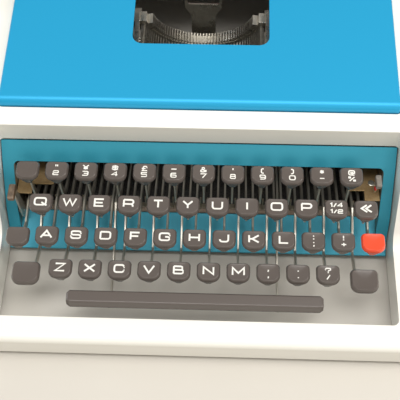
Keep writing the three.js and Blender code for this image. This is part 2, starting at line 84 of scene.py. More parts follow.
def rounded(corners: Sequence[Sequence[float]], steps: int = 6, closed: bool = True) -> list[Pair]:
    """Turns corners into an outline whose corners are arcs.

    Args:
        corners: points (a, b) or (a, b, radius).
        steps: number of short edges in each arc.
        closed: whether the last corner joins the first.

    Returns:
        The points of the outline.
    """
    points: list[Pair] = []
    count = len(corners)
    for index, corner in enumerate(corners):
        here = Vector(corner[:2])
        radius = corner[2] if len(corner) > 2 else 0.0
        end = not closed and index in (0, count - 1)
        back = (Vector(corners[index - 1][:2]) - here).normalized()
        ahead = (Vector(corners[(index + 1) % count][:2]) - here).normalized()
        half = back.angle(ahead, 0.0) / 2
        if radius == 0.0 or end or math.pi / 2 - half < STRAIGHT:
            points.append((here.x, here.y))
            continue
        centre = here + (back + ahead).normalized() * (radius / math.sin(half))
        start = here + back * (radius / math.tan(half)) - centre
        sweep = math.pi - 2 * half
        turn = 1.0 if start.cross(-back) > 0 else -1.0
        for step in range(steps + 1):
            angle = turn * sweep * step / steps
            cos, sin = math.cos(angle), math.sin(angle)
            spot = centre + Vector((start.x * cos - start.y * sin, start.x * sin + start.y * cos))
            points.append((spot.x, spot.y))
    return points


def rectangle(a: Pair, b: Pair, radius: float = 0.0, steps: int = 6) -> list[Pair]:
    """Outline of a rectangle between two limits on each axis, with round corners."""
    corners = ((a[0], b[0]), (a[1], b[0]), (a[1], b[1]), (a[0], b[1]))
    return rounded([(*corner, radius) for corner in corners], steps)


def circle(centre: Pair, radius: float, steps: int = 24) -> list[Pair]:
    """Outline of a circle."""
    turns = [2 * math.pi * step / steps for step in range(steps)]
    return [(centre[0] + radius * math.cos(t), centre[1] + radius * math.sin(t)) for t in turns]


def strip(line: Sequence[Pair], half: float) -> list[Pair]:
    """Draws the outline of a bent strip.

    Args:
        line: its centre line.
        half: half its height.

    Returns:
        The points of the outline.
    """
    upper: list[Pair] = []
    lower: list[Pair] = []
    last = len(line) - 1
    for index, point in enumerate(line):
        along = Vector(line[min(index + 1, last)]) - Vector(line[max(index - 1, 0)])
        across = Vector((-along.y, along.x)).normalized() * half
        upper.append((point[0] + across.x, point[1] + across.y))
        lower.insert(0, (point[0] - across.x, point[1] - across.y))
    return upper + lower


def mirrored(side: int, low: float, high: float) -> Pair:
    """Limits along X on one side, given as distances from the middle."""
    return (low, high) if side > 0 else (-high, -low)


def lay(outline: Sequence[Pair], plane: Plane, level: float) -> list[Triple]:
    """Lays an outline in its plane.

    Args:
        outline: its points.
        plane: the plane.
        level: where the plane stands on the axis across it.

    Returns:
        The places in space.
    """
    first, second, along = plane.value
    places = []
    for a, b in outline:
        spot = [0.0, 0.0, 0.0]
        spot[first], spot[second], spot[along] = a, b, level
        places.append(tuple(spot))
    return places


# ---- meshes


class Form:
    """A mesh under construction."""

    SHARP = math.radians(28)  # an edge that turns by more is rounded
    MERGE = 1e-4  # points nearer than this become one after a cut
    FLAT = math.radians(0.6)  # faces that turn by less become one after a cut

    def __init__(self) -> None:
        """Starts with nothing in it, and gives new faces the first finish."""
        self.mesh = bmesh.new()
        self.finish_index = 0

    def _close(self, faces: list[bmesh.types.BMFace], bevel: float, steps: int) -> None:
        """Turns new faces outwards, rounds their sharp edges and gives them their finish.

        Args:
            faces: the faces just made.
            bevel: width of the rounding, or 0 for none.
            steps: number of faces across the rounding.
        """
        bmesh.ops.recalc_face_normals(self.mesh, faces=faces)
        if bevel > 0:
            edges = {e for f in faces for e in f.edges if e.is_manifold}
            sharp = [e for e in edges if e.calc_face_angle(0.0) > self.SHARP]
            made = bmesh.ops.bevel(
                self.mesh, geom=sharp, offset=bevel, offset_type="OFFSET", segments=steps,
                profile=0.5, affect="EDGES", clamp_overlap=True,
            )
            faces = [f for f in faces if f.is_valid] + made["faces"]
        for face in faces:
            face.material_index = self.finish_index
            face.smooth = True

    def rings(self, rings: Sequence[Sequence[Triple]], bevel: float = 0.0, steps: int = 2,
              closed: bool = False) -> Form:
        """Adds a skin over rings of equally many points, with a flat cap at each end.

        Args:
            rings: the rings in order.
            bevel: width of the rounding on sharp edges.
            steps: number of faces across the rounding.
            closed: whether the last ring joins the first, as in a hoop.

        Returns:
            This form.
        """
        rows = [[self.mesh.verts.new(point) for point in ring] for ring in rings]
        size = len(rows[0])
        pairs = list(zip(rows, rows[1:] + ([rows[0]] if closed else [])))
        faces = []
        for low, high in pairs:
            for i in range(size):
                j = (i + 1) % size
                faces.append(self.mesh.faces.new((low[i], low[j], high[j], high[i])))
        if not closed:
            faces.append(self.mesh.faces.new(rows[0]))
            faces.append(self.mesh.faces.new(rows[-1]))
        self._close(faces, bevel, steps)
        return self

    def prism(self, outline: Sequence[Pair], plane: Plane, low: float, high: float,
              bevel: float = 0.0, steps: int = 2) -> Form:
        """Adds an outline pushed along the axis across its plane.

        Args:
            outline: the points of the outline.
            plane: the plane it lies in.
            low: where it starts along the third axis.
            high: where it ends.
            bevel: width of the rounding on sharp edges.
            steps: number of faces across the rounding.

        Returns:
            This form.
        """
        return self.rings([lay(outline, plane, level) for level in (low, high)], bevel, steps)

    def box(self, x: Pair, y: Pair, z: Pair, bevel: float = 0.3, steps: int = 2) -> Form:
        """Adds a block with rounded edges."""
        return self.prism(rectangle(x, y), Plane.XY, z[0], z[1], bevel, steps)

    def lathe(self, profile: Sequence[Pair], plane: Plane, centre: Pair, steps: int = 32,
              bevel: float = 0.0, closed: bool = False) -> Form:
        """Adds a turned shape.

        Args:
            profile: (radius, place along the axis) from one end to the other, none with radius 0.
            plane: the plane across the axis.
            centre: where the axis meets that plane.
            steps: number of sides.
            bevel: width of the rounding on sharp edges.
            closed: whether the profile joins up with itself, as in a ring.

        Returns:
            This form.
        """
        rings = [lay(circle(centre, radius, steps), plane, level) for radius, level in profile]
        return self.rings(rings, bevel, closed=closed)

    def wire(self, path: Sequence[Triple], radius: float, sides: int = 10) -> Form:
        """Adds a round wire along a path.

        Args:
            path: the points of its centre line.
            radius: the wire's radius.
            sides: number of sides.

        Returns:
            This form.
        """
        points = [Vector(p) for p in path]
        along = (points[1] - points[0]).normalized()
        across = along.orthogonal().normalized()
        rings = []
        for index, point in enumerate(points):
            ahead = points[min(index + 1, len(points) - 1)]
            behind = points[max(index - 1, 0)]
            tangent = (ahead - behind).normalized()
            across = (across - tangent * across.dot(tangent)).normalized()
            other = tangent.cross(across)
            turns = [2 * math.pi * step / sides for step in range(sides)]
            ring = [point + (across * math.cos(t) + other * math.sin(t)) * radius for t in turns]
            rings.append([tuple(spot) for spot in ring])
        return self.rings(rings)

    def _loose(self) -> bpy.types.Object:
        """Makes a plain object of the mesh as it is, for cutting.

        Returns:
            The object.
        """
        data = bpy.data.meshes.new("cutting")
        self.mesh.to_mesh(data)
        made = bpy.data.objects.new("cutting", data)
        bpy.context.scene.collection.objects.link(made)
        return made

    def carve(self, *tools: Form) -> Form:
        """Cuts other forms out of this one.

        Args:
            tools: the forms to take away, which are used up.

        Returns:
            This form.
        """
        blank = self._loose()
        cutters = [tool._loose() for tool in tools]
        for cutter in cutters:
            change = blank.modifiers.new("cut", "BOOLEAN")
            change.operation = "DIFFERENCE"
            change.solver = "EXACT"
            change.object = cutter
        graph = bpy.context.evaluated_depsgraph_get()
        carved = bpy.data.meshes.new_from_object(blank.evaluated_get(graph))
        self.mesh.clear()
        self.mesh.from_mesh(carved)
        for used in [blank, *cutters]:
            data = used.data
            bpy.data.objects.remove(used)
            bpy.data.meshes.remove(data)
        bpy.data.meshes.remove(carved)
        for tool in tools:
            tool.mesh.free()
        bmesh.ops.remove_doubles(self.mesh, verts=self.mesh.verts, dist=self.MERGE)
        bmesh.ops.dissolve_limit(self.mesh, angle_limit=self.FLAT, verts=self.mesh.verts,
                                 edges=self.mesh.edges)
        for face in self.mesh.faces:
            face.smooth = True
        return self

    def soften(self, width: float, steps: int = 2) -> Form:
        """Rounds every sharp edge of the whole form."""
        self._close(list(self.mesh.faces), width, steps)
        return self

    def piece(self, name: str, body: str, *finishes: Finish, slot: str = "",
              replaces: Sequence[str] = (), crease: float = 40.0) -> bpy.types.Object:
        """Turns the form into a piece of the machine.

        Args:
            name: the piece's name.
            body: the moving body that carries it.
            finishes: its materials, in the order that the faces refer to them.
            slot: the record's material slot that it would take its finish from; not used.
            replaces: solids of the frame that it stands for.
            crease: angle in degrees above which an edge is drawn sharp.

        Returns:
            The finished object.
        """
        bmesh.ops.transform(self.mesh, matrix=Matrix.Scale(MM, 4), verts=self.mesh.verts)
        data = bpy.data.meshes.new(name)
        self.mesh.to_mesh(data)
        self.mesh.free()
        data.set_sharp_from_angle(angle=math.radians(crease))
        for finish in finishes:
            data.materials.append(finish.material())
        made = bpy.data.objects.new(name, data)
        even = made.modifiers.new("even_shading", "WEIGHTED_NORMAL")
        even.keep_sharp = True
        bpy.context.scene.collection.objects.link(made)
        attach(made, body)
        if replaces:
            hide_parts(*replaces)
        LOG.info("%s rides on %s, %d faces", name, body, len(data.polygons))
        return made


# ---- finishes


class Sheet:
    """A node tree that is being filled."""

    MIX_INPUTS = (0, 6, 7)
    MIX_RESULT = 2

    def __init__(self, tree: bpy.types.NodeTree) -> None:
        """Keeps the tree."""
        self.tree = tree

    def feed(self, socket: bpy.types.NodeSocket, value: Any) -> None:
        """Links a source to a socket, or sets a plain value on it.

        Args:
            socket: the socket to feed.
            value: a value, or the output that it comes from.
        """
        if isinstance(value, bpy.types.NodeSocket):
            self.tree.links.new(value, socket)
        else:
            socket.default_value = value

    def add(self, kind: str, **values: Any) -> bpy.types.Node:
        """Adds a node.

        Args:
            kind: the node's type name.
            values: its properties, or for names that are input sockets, their values or sources.

        Returns:
            The node.
        """
        node = self.tree.nodes.new(kind)
        for name, value in values.items():
            if hasattr(node, name):
                setattr(node, name, value)
        for name, value in values.items():
            if not hasattr(node, name):
                self.feed(node.inputs[name.replace("_", " ")], value)
        return node

    def maths(self, operation: str, first: Any, second: Any) -> bpy.types.NodeSocket:
        """Adds a Math node.

        Args:
            operation: its operation.
            first: a value or a source.
            second: a value or a source.

        Returns:
            Its result.
        """
        node = self.add("ShaderNodeMath", operation=operation)
        self.feed(node.inputs[0], first)
        self.feed(node.inputs[1], second)
        return node.outputs[0]

    def blend(self, factor: Any, first: Any, second: Any) -> bpy.types.NodeSocket:
        """Adds a node that mixes two colours.

        Args:
            factor: how much of the second, as a value or a source.
            first: a colour or a source.
            second: a colour or a source.

        Returns:
            The mixed colour.
        """
        node = self.add("ShaderNodeMix", data_type="RGBA")
        for socket, value in zip(self.MIX_INPUTS, (factor, first, second)):
            self.feed(node.inputs[socket], value)
        return node.outputs[self.MIX_RESULT]

    def spots(self) -> bpy.types.NodeSocket:
        """Adds the source of places in the piece's own frame."""
        return self.add("ShaderNodeTexCoord").outputs["Object"]

    def stretch(self, value: bpy.types.NodeSocket, low: float,
                high: float = 1.0) -> bpy.types.NodeSocket:
        """Stretches a value so that two limits become 0 and 1.

        Args:
            value: the source.
            low: what becomes 0.
            high: what becomes 1.

        Returns:
            The stretched value, kept within 0 and 1.
        """
        return self.add("ShaderNodeMapRange", Value=value, From_Min=low, From_Max=high).outputs[0]


class Effects:
    """Shader node groups that several finishes share. Each is built once."""

    COLOUR = "NodeSocketColor"
    VALUE = "NodeSocketFloat"
    VECTOR = "NodeSocketVector"
    WHITE = (1, 1, 1, 1)

    @classmethod
    def place(cls, sheet: Sheet, name: str, **values: Any) -> bpy.types.bpy_prop_collection:
        """Places a group in a material, and builds the group if it isn't there yet.

        Args:
            sheet: the material's sheet.
            name: the group's name.
            values: input name to value or source.

        Returns:
            The group's outputs, by name.
        """
        builders = {"mottle": cls.mottle, "edge_wear": cls.edge_wear, "dust_and_top_light": cls.dust_and_top_light,
                    "relief": cls.relief, "weave": cls.weave}
        if name not in bpy.data.node_groups:
            builders[name]()
        node = sheet.add("ShaderNodeGroup", node_tree=bpy.data.node_groups[name])
        for label, value in values.items():
            sheet.feed(node.inputs[label], value)
        return node.outputs

    @classmethod
    def _start(cls, name: str, inputs: dict[str, tuple[str, Any]],
               outputs: dict[str, str]) -> tuple[Sheet, Any, Any]:
        """Starts a group.

        Args:
            name: the group's name.
            inputs: socket name to its type and default.
            outputs: socket name to its type.

        Returns:
            The group's sheet, its input sockets and its output sockets.
        """
        tree = bpy.data.node_groups.new(name, "ShaderNodeTree")
        for label, (kind, default) in inputs.items():
            socket = tree.interface.new_socket(name=label, in_out="INPUT", socket_type=kind)
            socket.default_value = default
        for label, kind in outputs.items():
            tree.interface.new_socket(name=label, in_out="OUTPUT", socket_type=kind)
        sheet = Sheet(tree)
        return sheet, sheet.add("NodeGroupInput").outputs, sheet.add("NodeGroupOutput").inputs

    @classmethod
    def mottle(cls) -> None:
        """Slow drift between two shades, as in aged paint or plastic."""
        sheet, given, out = cls._start(
            "mottle",
            {"Colour": (cls.COLOUR, cls.WHITE), "Shade": (cls.COLOUR, cls.WHITE),
             "Scale": (cls.VALUE, 20.0), "Amount": (cls.VALUE, 0.5)},
            {"Colour": cls.COLOUR, "Mask": cls.VALUE},
        )
        place = sheet.spots()
        broad = sheet.add("ShaderNodeTexNoise", Vector=place, Scale=given["Scale"], Detail=4.0,
                          Roughness=0.62).outputs["Fac"]
        fine = sheet.add("ShaderNodeTexNoise", Vector=place, Detail=3.0,
                         Scale=sheet.maths("MULTIPLY", given["Scale"], 11.0)).outputs["Fac"]
        both = sheet.maths("ADD", sheet.maths("MULTIPLY", broad, 0.75),
                           sheet.maths("MULTIPLY", fine, 0.25))
        mask = sheet.stretch(both, 0.36, 0.64)
        factor = sheet.maths("MULTIPLY", mask, given["Amount"])
        sheet.feed(out["Colour"], sheet.blend(factor, given["Colour"], given["Shade"]))
        sheet.feed(out["Mask"], mask)

    @classmethod
    def edge_wear(cls) -> None:
        """Paler, rubbed edges, broken up by noise."""
        sheet, given, out = cls._start(
            "edge_wear",
            {"Colour": (cls.COLOUR, cls.WHITE), "Worn": (cls.COLOUR, cls.WHITE),
             "Amount": (cls.VALUE, 0.3)},
            {"Colour": cls.COLOUR, "Mask": cls.VALUE},
        )
        edge = sheet.add("ShaderNodeNewGeometry").outputs["Pointiness"]
        high = sheet.stretch(edge, 0.52, 0.6)
        noise = sheet.add("ShaderNodeTexNoise", Vector=sheet.spots(), Scale=260.0, Detail=5.0)
        patch = sheet.stretch(noise.outputs["Fac"], 0.4, 0.6)
        mask = sheet.maths("MULTIPLY", sheet.maths("MULTIPLY", high, patch), given["Amount"])
        sheet.feed(out["Colour"], sheet.blend(mask, given["Colour"], given["Worn"]))
        sheet.feed(out["Mask"], mask)

    @classmethod
    def dust_and_top_light(cls) -> None:
        """Thin dust that settles on what faces up. On the grey keys it is also painted top light,
        which makes their faces paler than their skirts.
        """
        sheet, given, out = cls._start(
            "dust_and_top_light",
            {"Colour": (cls.COLOUR, cls.WHITE), "Dust": (cls.COLOUR, (0.5, 0.45, 0.38, 1)),
             "Amount": (cls.VALUE, 0.2)},
            {"Colour": cls.COLOUR, "Mask": cls.VALUE},
        )
        normal = sheet.add("ShaderNodeNewGeometry").outputs["Normal"]
        upward = sheet.add("ShaderNodeSeparateXYZ", Vector=normal).outputs["Z"]
        facing = sheet.stretch(upward, 0.3)
        specks = sheet.add("ShaderNodeTexNoise", Vector=sheet.spots(), Scale=900.0, Detail=6.0,
                           Roughness=0.7).outputs["Fac"]
        mask = sheet.maths("MULTIPLY", facing, sheet.stretch(specks, 0.42, 0.72))
        factor = sheet.maths("MULTIPLY", mask, given["Amount"])
        sheet.feed(out["Colour"], sheet.blend(factor, given["Colour"], given["Dust"]))
        sheet.feed(out["Mask"], factor)

    @classmethod
    def relief(cls) -> None:
        """Fine relief, drawn out along one axis for brushed or rolled surfaces."""
        sheet, given, out = cls._start(
            "relief",
            {"Stretch": (cls.VECTOR, (1.0, 1.0, 1.0)), "Scale": (cls.VALUE, 800.0)},
            {"Height": cls.VALUE},
        )
        stretched = sheet.add("ShaderNodeVectorMath", operation="MULTIPLY")
        sheet.feed(stretched.inputs[0], sheet.spots())
        sheet.feed(stretched.inputs[1], given["Stretch"])
        noise = sheet.add("ShaderNodeTexNoise", Vector=stretched.outputs[0], Scale=given["Scale"],
                          Detail=3.0, Roughness=0.55)
        sheet.feed(out["Height"], noise.outputs["Fac"])

    @classmethod
    def weave(cls) -> None:
        """Over and under threads of woven ribbon or felt pressed from threads."""
        sheet, given, out = cls._start(
            "weave", {"Scale": (cls.VALUE, 3000.0)}, {"Height": cls.VALUE},
        )
        place = sheet.spots()
        waves = []
        for direction in ("X", "Z"):
            wave = sheet.add("ShaderNodeTexWave", Vector=place, Scale=given["Scale"],
                             bands_direction=direction, Distortion=0.6)
            waves.append(wave.outputs["Fac"])
        sheet.feed(out["Height"], sheet.maths("MAXIMUM", *waves))


class Relief(Enum):
    """Kind of fine surface relief, with the stretch of its noise along X, Y and Z."""

    PEEL = (1.0, 1.0, 1.0)
    GRAIN = (1.0, 1.0, 1.01)
    BRUSHED_X = (0.02, 1.0, 1.0)
    BRUSHED_Y = (1.0, 0.02, 1.0)
    WOVEN = (0.0, 0.0, 0.0)


@dataclass(frozen=True)
class Finish:
    """One surface finish, with its procedural material."""

    DUST_ROUGHNESS: ClassVar[float] = 0.5
    COAT_ROUGHNESS: ClassVar[float] = 0.06

    name: str
    colour: Colour
    shade: Colour
    roughness: float
    metallic: float = 0.0
    coat: float = 0.0
    specular: float = 0.5
    drift: float = 25.0
    amount: float = 0.5
    relief: Relief = Relief.GRAIN
    relief_scale: float = 1500.0
    relief_depth: float = 0.06
    wear: float = 0.2
    worn: Colour = (0.6, 0.58, 0.55)
    # amount of dust on what faces up; on the grey keys it is also painted top light
    dust_and_top_light: float = 0.12
    rough_spread: float = 0.08

    def material(self) -> bpy.types.Material:
        """Builds the material, or gives it back if it is there already.

        Returns:
            The material.
        """
        if self.name in bpy.data.materials:
            return bpy.data.materials[self.name]
        made = bpy.data.materials.new(self.name)
        made.use_nodes = True
        made.diffuse_color = (*self.colour, 1.0)
        sheet = Sheet(made.node_tree)
        sheet.tree.nodes.clear()
        tint = Effects.place(sheet, "mottle", Colour=(*self.colour, 1), Shade=(*self.shade, 1),
                             Scale=self.drift, Amount=self.amount)
        worn = Effects.place(sheet, "edge_wear", Colour=tint["Colour"], Worn=(*self.worn, 1),
                             Amount=self.wear)
        dusted_and_lit = Effects.place(sheet, "dust_and_top_light", Colour=worn["Colour"], Amount=self.dust_and_top_light)
        rough = sheet.add("ShaderNodeMapRange", Value=tint["Mask"],
                          To_Min=max(self.roughness - self.rough_spread, 0.02),
                          To_Max=self.roughness + self.rough_spread)
        dull = sheet.maths("ADD", rough.outputs[0],
                           sheet.maths("MULTIPLY", dusted_and_lit["Mask"], self.DUST_ROUGHNESS))
        if self.relief is Relief.WOVEN:
            height = Effects.place(sheet, "weave", Scale=self.relief_scale)["Height"]
        else:
            height = Effects.place(sheet, "relief", Stretch=self.relief.value,
                                   Scale=self.relief_scale)["Height"]
        bump = sheet.add("ShaderNodeBump", Height=height, Strength=1.0,
                         Distance=self.relief_depth * MM)
        shader = sheet.add("ShaderNodeBsdfPrincipled", Base_Color=dusted_and_lit["Colour"], Roughness=dull,
                           Metallic=self.metallic, Normal=bump.outputs["Normal"],
                           Coat_Weight=self.coat, Coat_Roughness=self.COAT_ROUGHNESS,
                           Specular_IOR_Level=self.specular)
        output = sheet.add("ShaderNodeOutputMaterial")
        sheet.feed(output.inputs["Surface"], shader.outputs["BSDF"])
        return made


BODY_WHITE = Finish("body_white", (0.86, 0.84, 0.78), (0.82, 0.79, 0.71), 0.38, specular=0.4,
                    coat=0.1, drift=9.0, relief=Relief.PEEL, relief_scale=420.0, relief_depth=0.04,
                    wear=0.1, worn=(0.7, 0.66, 0.58), dust_and_top_light=0.06)
COVER_BLUE = Finish("cover_blue", (0.0, 0.235, 0.55), (0.0, 0.21, 0.50), 0.24, specular=0.15,
                    coat=0.08, drift=7.0, relief=Relief.PEEL, relief_scale=350.0, relief_depth=0.03,
                    wear=0.15, worn=(0.0, 0.36, 0.66), dust_and_top_light=0.0)
# The surround and apron are painted in the cover's blue; this darker colour is that blue with
# painted shade, for the shade under the crossbar's overhang.
SURROUND_BLUE_SHADED = Finish("surround_teal", (0.0, 0.130, 0.250), (0.0, 0.11, 0.22), 0.28, specular=0.15,
                       coat=0.04, drift=12.0, relief=Relief.PEEL, relief_scale=350.0,
                       relief_depth=0.03, wear=0.2, worn=(0.02, 0.26, 0.38), dust_and_top_light=0.0)
# The grey keys' dust amount is partly real dust and partly painted top light: it makes the
# up-facing faces paler than the darker skirts.
KEY_GREY = Finish("key_grey", (0.040, 0.033, 0.030), (0.050, 0.042, 0.038), 0.34, specular=0.45,
                  drift=90.0, relief_scale=2600.0, relief_depth=0.04, wear=0.35,
                  worn=(0.30, 0.27, 0.26), dust_and_top_light=0.16)
KEY_RED = Finish("key_red", (0.80, 0.075, 0.022), (0.72, 0.06, 0.02), 0.36, coat=0.1, drift=90.0,
                 relief_scale=2600.0, relief_depth=0.04, wear=0.2, worn=(0.9, 0.35, 0.2), dust_and_top_light=0.08)
LEGEND_WHITE = Finish("legend_white", (0.82, 0.82, 0.78), (0.74, 0.73, 0.68), 0.5, drift=400.0,
                      relief_depth=0.02, wear=0.0, dust_and_top_light=0.05)
LEVER_STEEL = Finish("lever_steel", (0.42, 0.38, 0.31), (0.30, 0.26, 0.20), 0.38, metallic=0.85,
                     drift=60.0, relief=Relief.BRUSHED_Y, relief_scale=3000.0, relief_depth=0.04,
                     wear=0.4, worn=(0.62, 0.58, 0.50), dust_and_top_light=0.18)
FRAME_STEEL = Finish("frame_steel", (0.30, 0.265, 0.20), (0.20, 0.165, 0.11), 0.42, metallic=0.75,
                     drift=40.0, relief=Relief.BRUSHED_X, relief_scale=2200.0, relief_depth=0.04,
                     wear=0.4, worn=(0.55, 0.50, 0.42), dust_and_top_light=0.22)
# The window plates are grey steel; their tan colour, worn edges included, is a painted reflection
# of warm wood below the machine.
STEEL_PAINTED_WOOD_REFLECTION = Finish("bronze_plate", (0.36, 0.235, 0.10), (0.24, 0.15, 0.065), 0.40, metallic=0.6,
                      drift=50.0, relief=Relief.BRUSHED_X, relief_scale=1800.0, relief_depth=0.05,
                      wear=0.3, worn=(0.6, 0.45, 0.25), dust_and_top_light=0.2)
KNOB_GREY = Finish("knob_grey", (0.20, 0.175, 0.15), (0.15, 0.13, 0.11), 0.4, drift=150.0,
                   relief_scale=2400.0, relief_depth=0.04, wear=0.4, worn=(0.6, 0.58, 0.54),
                   dust_and_top_light=0.1)
KNOB_BROWN = Finish("knob_brown", (0.085, 0.056, 0.034), (0.06, 0.04, 0.025), 0.45, drift=150.0,
                    relief_scale=2400.0, relief_depth=0.05, wear=0.4, worn=(0.40, 0.28, 0.18),
                    dust_and_top_light=0.15)
CHROME = Finish("chrome", (0.78, 0.78, 0.77), (0.70, 0.70, 0.69), 0.10, metallic=1.0, drift=60.0,
                relief=Relief.PEEL, relief_scale=600.0, relief_depth=0.01, wear=0.0, dust_and_top_light=0.05,
                rough_spread=0.03)
TYPE_STEEL = Finish("type_steel", (0.50, 0.48, 0.43), (0.34, 0.31, 0.26), 0.30, metallic=0.95,
                    drift=120.0, relief_scale=3500.0, relief_depth=0.03, wear=0.4,
                    worn=(0.7, 0.68, 0.62), dust_and_top_light=0.12)
DARK_METAL = Finish("dark_metal", (0.035, 0.035, 0.038), (0.05, 0.048, 0.045), 0.45, metallic=0.3,
                    drift=40.0, relief_scale=1600.0, relief_depth=0.06, wear=0.4,
                    worn=(0.22, 0.21, 0.2), dust_and_top_light=0.2)
RUBBER = Finish("rubber", (0.018, 0.018, 0.019), (0.03, 0.029, 0.028), 0.72, drift=60.0,
                relief_scale=2400.0, relief_depth=0.08, wear=0.3, worn=(0.08, 0.08, 0.08),
                dust_and_top_light=0.12)
KNOB_BLACK = Finish("knob_black", (0.022, 0.021, 0.021), (0.03, 0.028, 0.027), 0.30, coat=0.2,
                    drift=80.0, relief_scale=2600.0, relief_depth=0.04, wear=0.35,
                    worn=(0.14, 0.13, 0.125), dust_and_top_light=0.1)
FELT = Finish("felt", (0.40, 0.31, 0.25), (0.28, 0.21, 0.16), 0.95, drift=120.0, specular=0.2,
              relief=Relief.WOVEN, relief_scale=900.0, relief_depth=0.25, wear=0.0, dust_and_top_light=0.25,
              rough_spread=0.04)
FELT_DARK = Finish("felt_dark", (0.035, 0.05, 0.04), (0.05, 0.06, 0.05), 0.95, drift=120.0,
                   specular=0.2, relief=Relief.WOVEN, relief_scale=900.0, relief_depth=0.25,
                   wear=0.0, dust_and_top_light=0.15, rough_spread=0.04)
RIBBON_BLACK = Finish("ribbon_black", (0.012, 0.012, 0.014), (0.02, 0.02, 0.022), 0.7, drift=80.0,
                      relief=Relief.WOVEN, relief_scale=2600.0, relief_depth=0.05, wear=0.0,
                      dust_and_top_light=0.03)
RIBBON_RED = Finish("ribbon_red", (0.35, 0.012, 0.012), (0.28, 0.01, 0.01), 0.7, drift=80.0,
                    relief=Relief.WOVEN, relief_scale=2600.0, relief_depth=0.05, wear=0.0,
                    dust_and_top_light=0.03)
DOT_RED = Finish("dot_red", (0.62, 0.010, 0.006), (0.55, 0.01, 0.006), 0.35, drift=200.0,
                 relief_depth=0.01, wear=0.1, dust_and_top_light=0.05)
FLOOR_PALE = Finish("floor_pale", (0.60, 0.575, 0.53), (0.56, 0.535, 0.49), 0.6, drift=2.0,
                    relief_scale=500.0, relief_depth=0.03, wear=0.0, dust_and_top_light=0.0)


# ---- moulded body


@dataclass
class MouldedBody:
    """The white body: two cheeks, front bar, crossbar and rear deck, on four rubber feet."""

    half_width: float = 157.0
    front: float = -172.5
    back: float = 172.5
    bottom: float = 2.5
    wall: float = 3.0
    well_half: float = 131.0
    well_front: float = -156.0
    bay_half: float = 131.0
    bay_back: float = 169.5
    crossbar: Pair = (-48.5, -34.5)
    crossbar_bottom: float = 69.0
    crossbar_top: float = 85.0
    deck: float = 26.0
    rear_deck: float = 56.0
    seat: Pair = (65.0, 90.0)
    slope: Pair = (-97.0, -65.5)
    foot_radius: float = 9.0
    foot_x: float = 144.0
    foot_y: float = 150.0

    def _side(self, inset: float) -> list[Pair]:
        """Side outline of the body.

        Args:
            inset: how far inside the outer face it runs.

        Returns:
            Its points in the YZ plane.
        """
        bottom = -1.0 if inset else self.bottom
        front, back = self.front + inset, self.back - inset
        deck, top = self.deck - inset, self.crossbar_top - inset
        seat_y, seat_z = self.seat[0] - inset, self.seat[1] - inset
        rear = self.rear_deck - inset
        slant = inset * 0.6
        return rounded([
            (front, bottom), (front, deck, 5), (self.slope[0] + slant, deck, 14),
            (self.slope[1] + slant, top, 11),
            (self.crossbar[1], top, 30), (seat_y, seat_z, 3), (seat_y, rear, 3),
            (back, rear, 8), (back, bottom),
        ], 8)

    def shell(self) -> None:
        """Builds the moulded shell, open below, with the keyboard well and the rear bay."""
        across = (-self.well_half, self.well_half)
        left, right = across
        shell = Form().prism(self._side(0), Plane.YZ, -self.half_width, self.half_width, 2.4, 4)
        well = Form().prism(
            rounded([(left, self.well_front, 4), (right, self.well_front, 4),
                     (right, self.crossbar[0], 3), (left, self.crossbar[0], 3)]),
            Plane.XY, -5, 100)
        under = Form().box(across, (-60, self.crossbar[1] + 1.5), (-5, self.crossbar_bottom), 0)
        bay = Form().prism(
            rectangle((-self.bay_half, self.bay_half), (self.crossbar[1], self.bay_back), 3),
            Plane.XY, -6, 110)
        inner, outer = self.bay_half + self.wall, self.half_width - self.wall
        hollows = [Form().prism(self._side(self.wall), Plane.YZ, *mirrored(side, inner, outer))
                   for side in (-1, 1)]
        hollows.append(Form().box(
            across, (self.crossbar[0] + self.wall, self.crossbar[1] - self.wall),
            (self.crossbar_bottom - 2, self.crossbar_top - self.wall), 0))
        hollows.append(Form().box(
            (-inner, inner), (self.front + self.wall, self.well_front - self.wall),
            (-4, self.deck - self.wall), 0))
        shell.carve(well, under, bay, *hollows).soften(0.9, 3)
        for side in (-1, 1):
            for y in (-self.foot_y, self.foot_y):
                shell.box(mirrored(side, inner - 1, outer + 1),
                          (y - self.foot_radius, y + self.foot_radius), (2.6, 8), 0.4)
        shell.piece("moulded_body", "machine", BODY_WHITE, slot="body_white",
                    replaces=["body_shell"], crease=50)

    def feet(self) -> None:
        """Builds four rubber feet, each with a moulded ring underneath."""
        radius = self.foot_radius
        profile = [(radius * 0.45, 0.9), (radius * 0.6, 0.0), (radius - 1.6, 0.0),
                   (radius - 0.4, 0.7), (radius, 2.0), (radius, 3.4)]
        for side, across in SIDES:
            for end, along in ((-1, "front"), (1, "rear")):
                foot = Form().lathe(profile, Plane.XY, (side * self.foot_x, end * self.foot_y))
                foot.piece(f"foot_{along}_{across}", "machine", RUBBER, crease=50)


# ---- painted surround


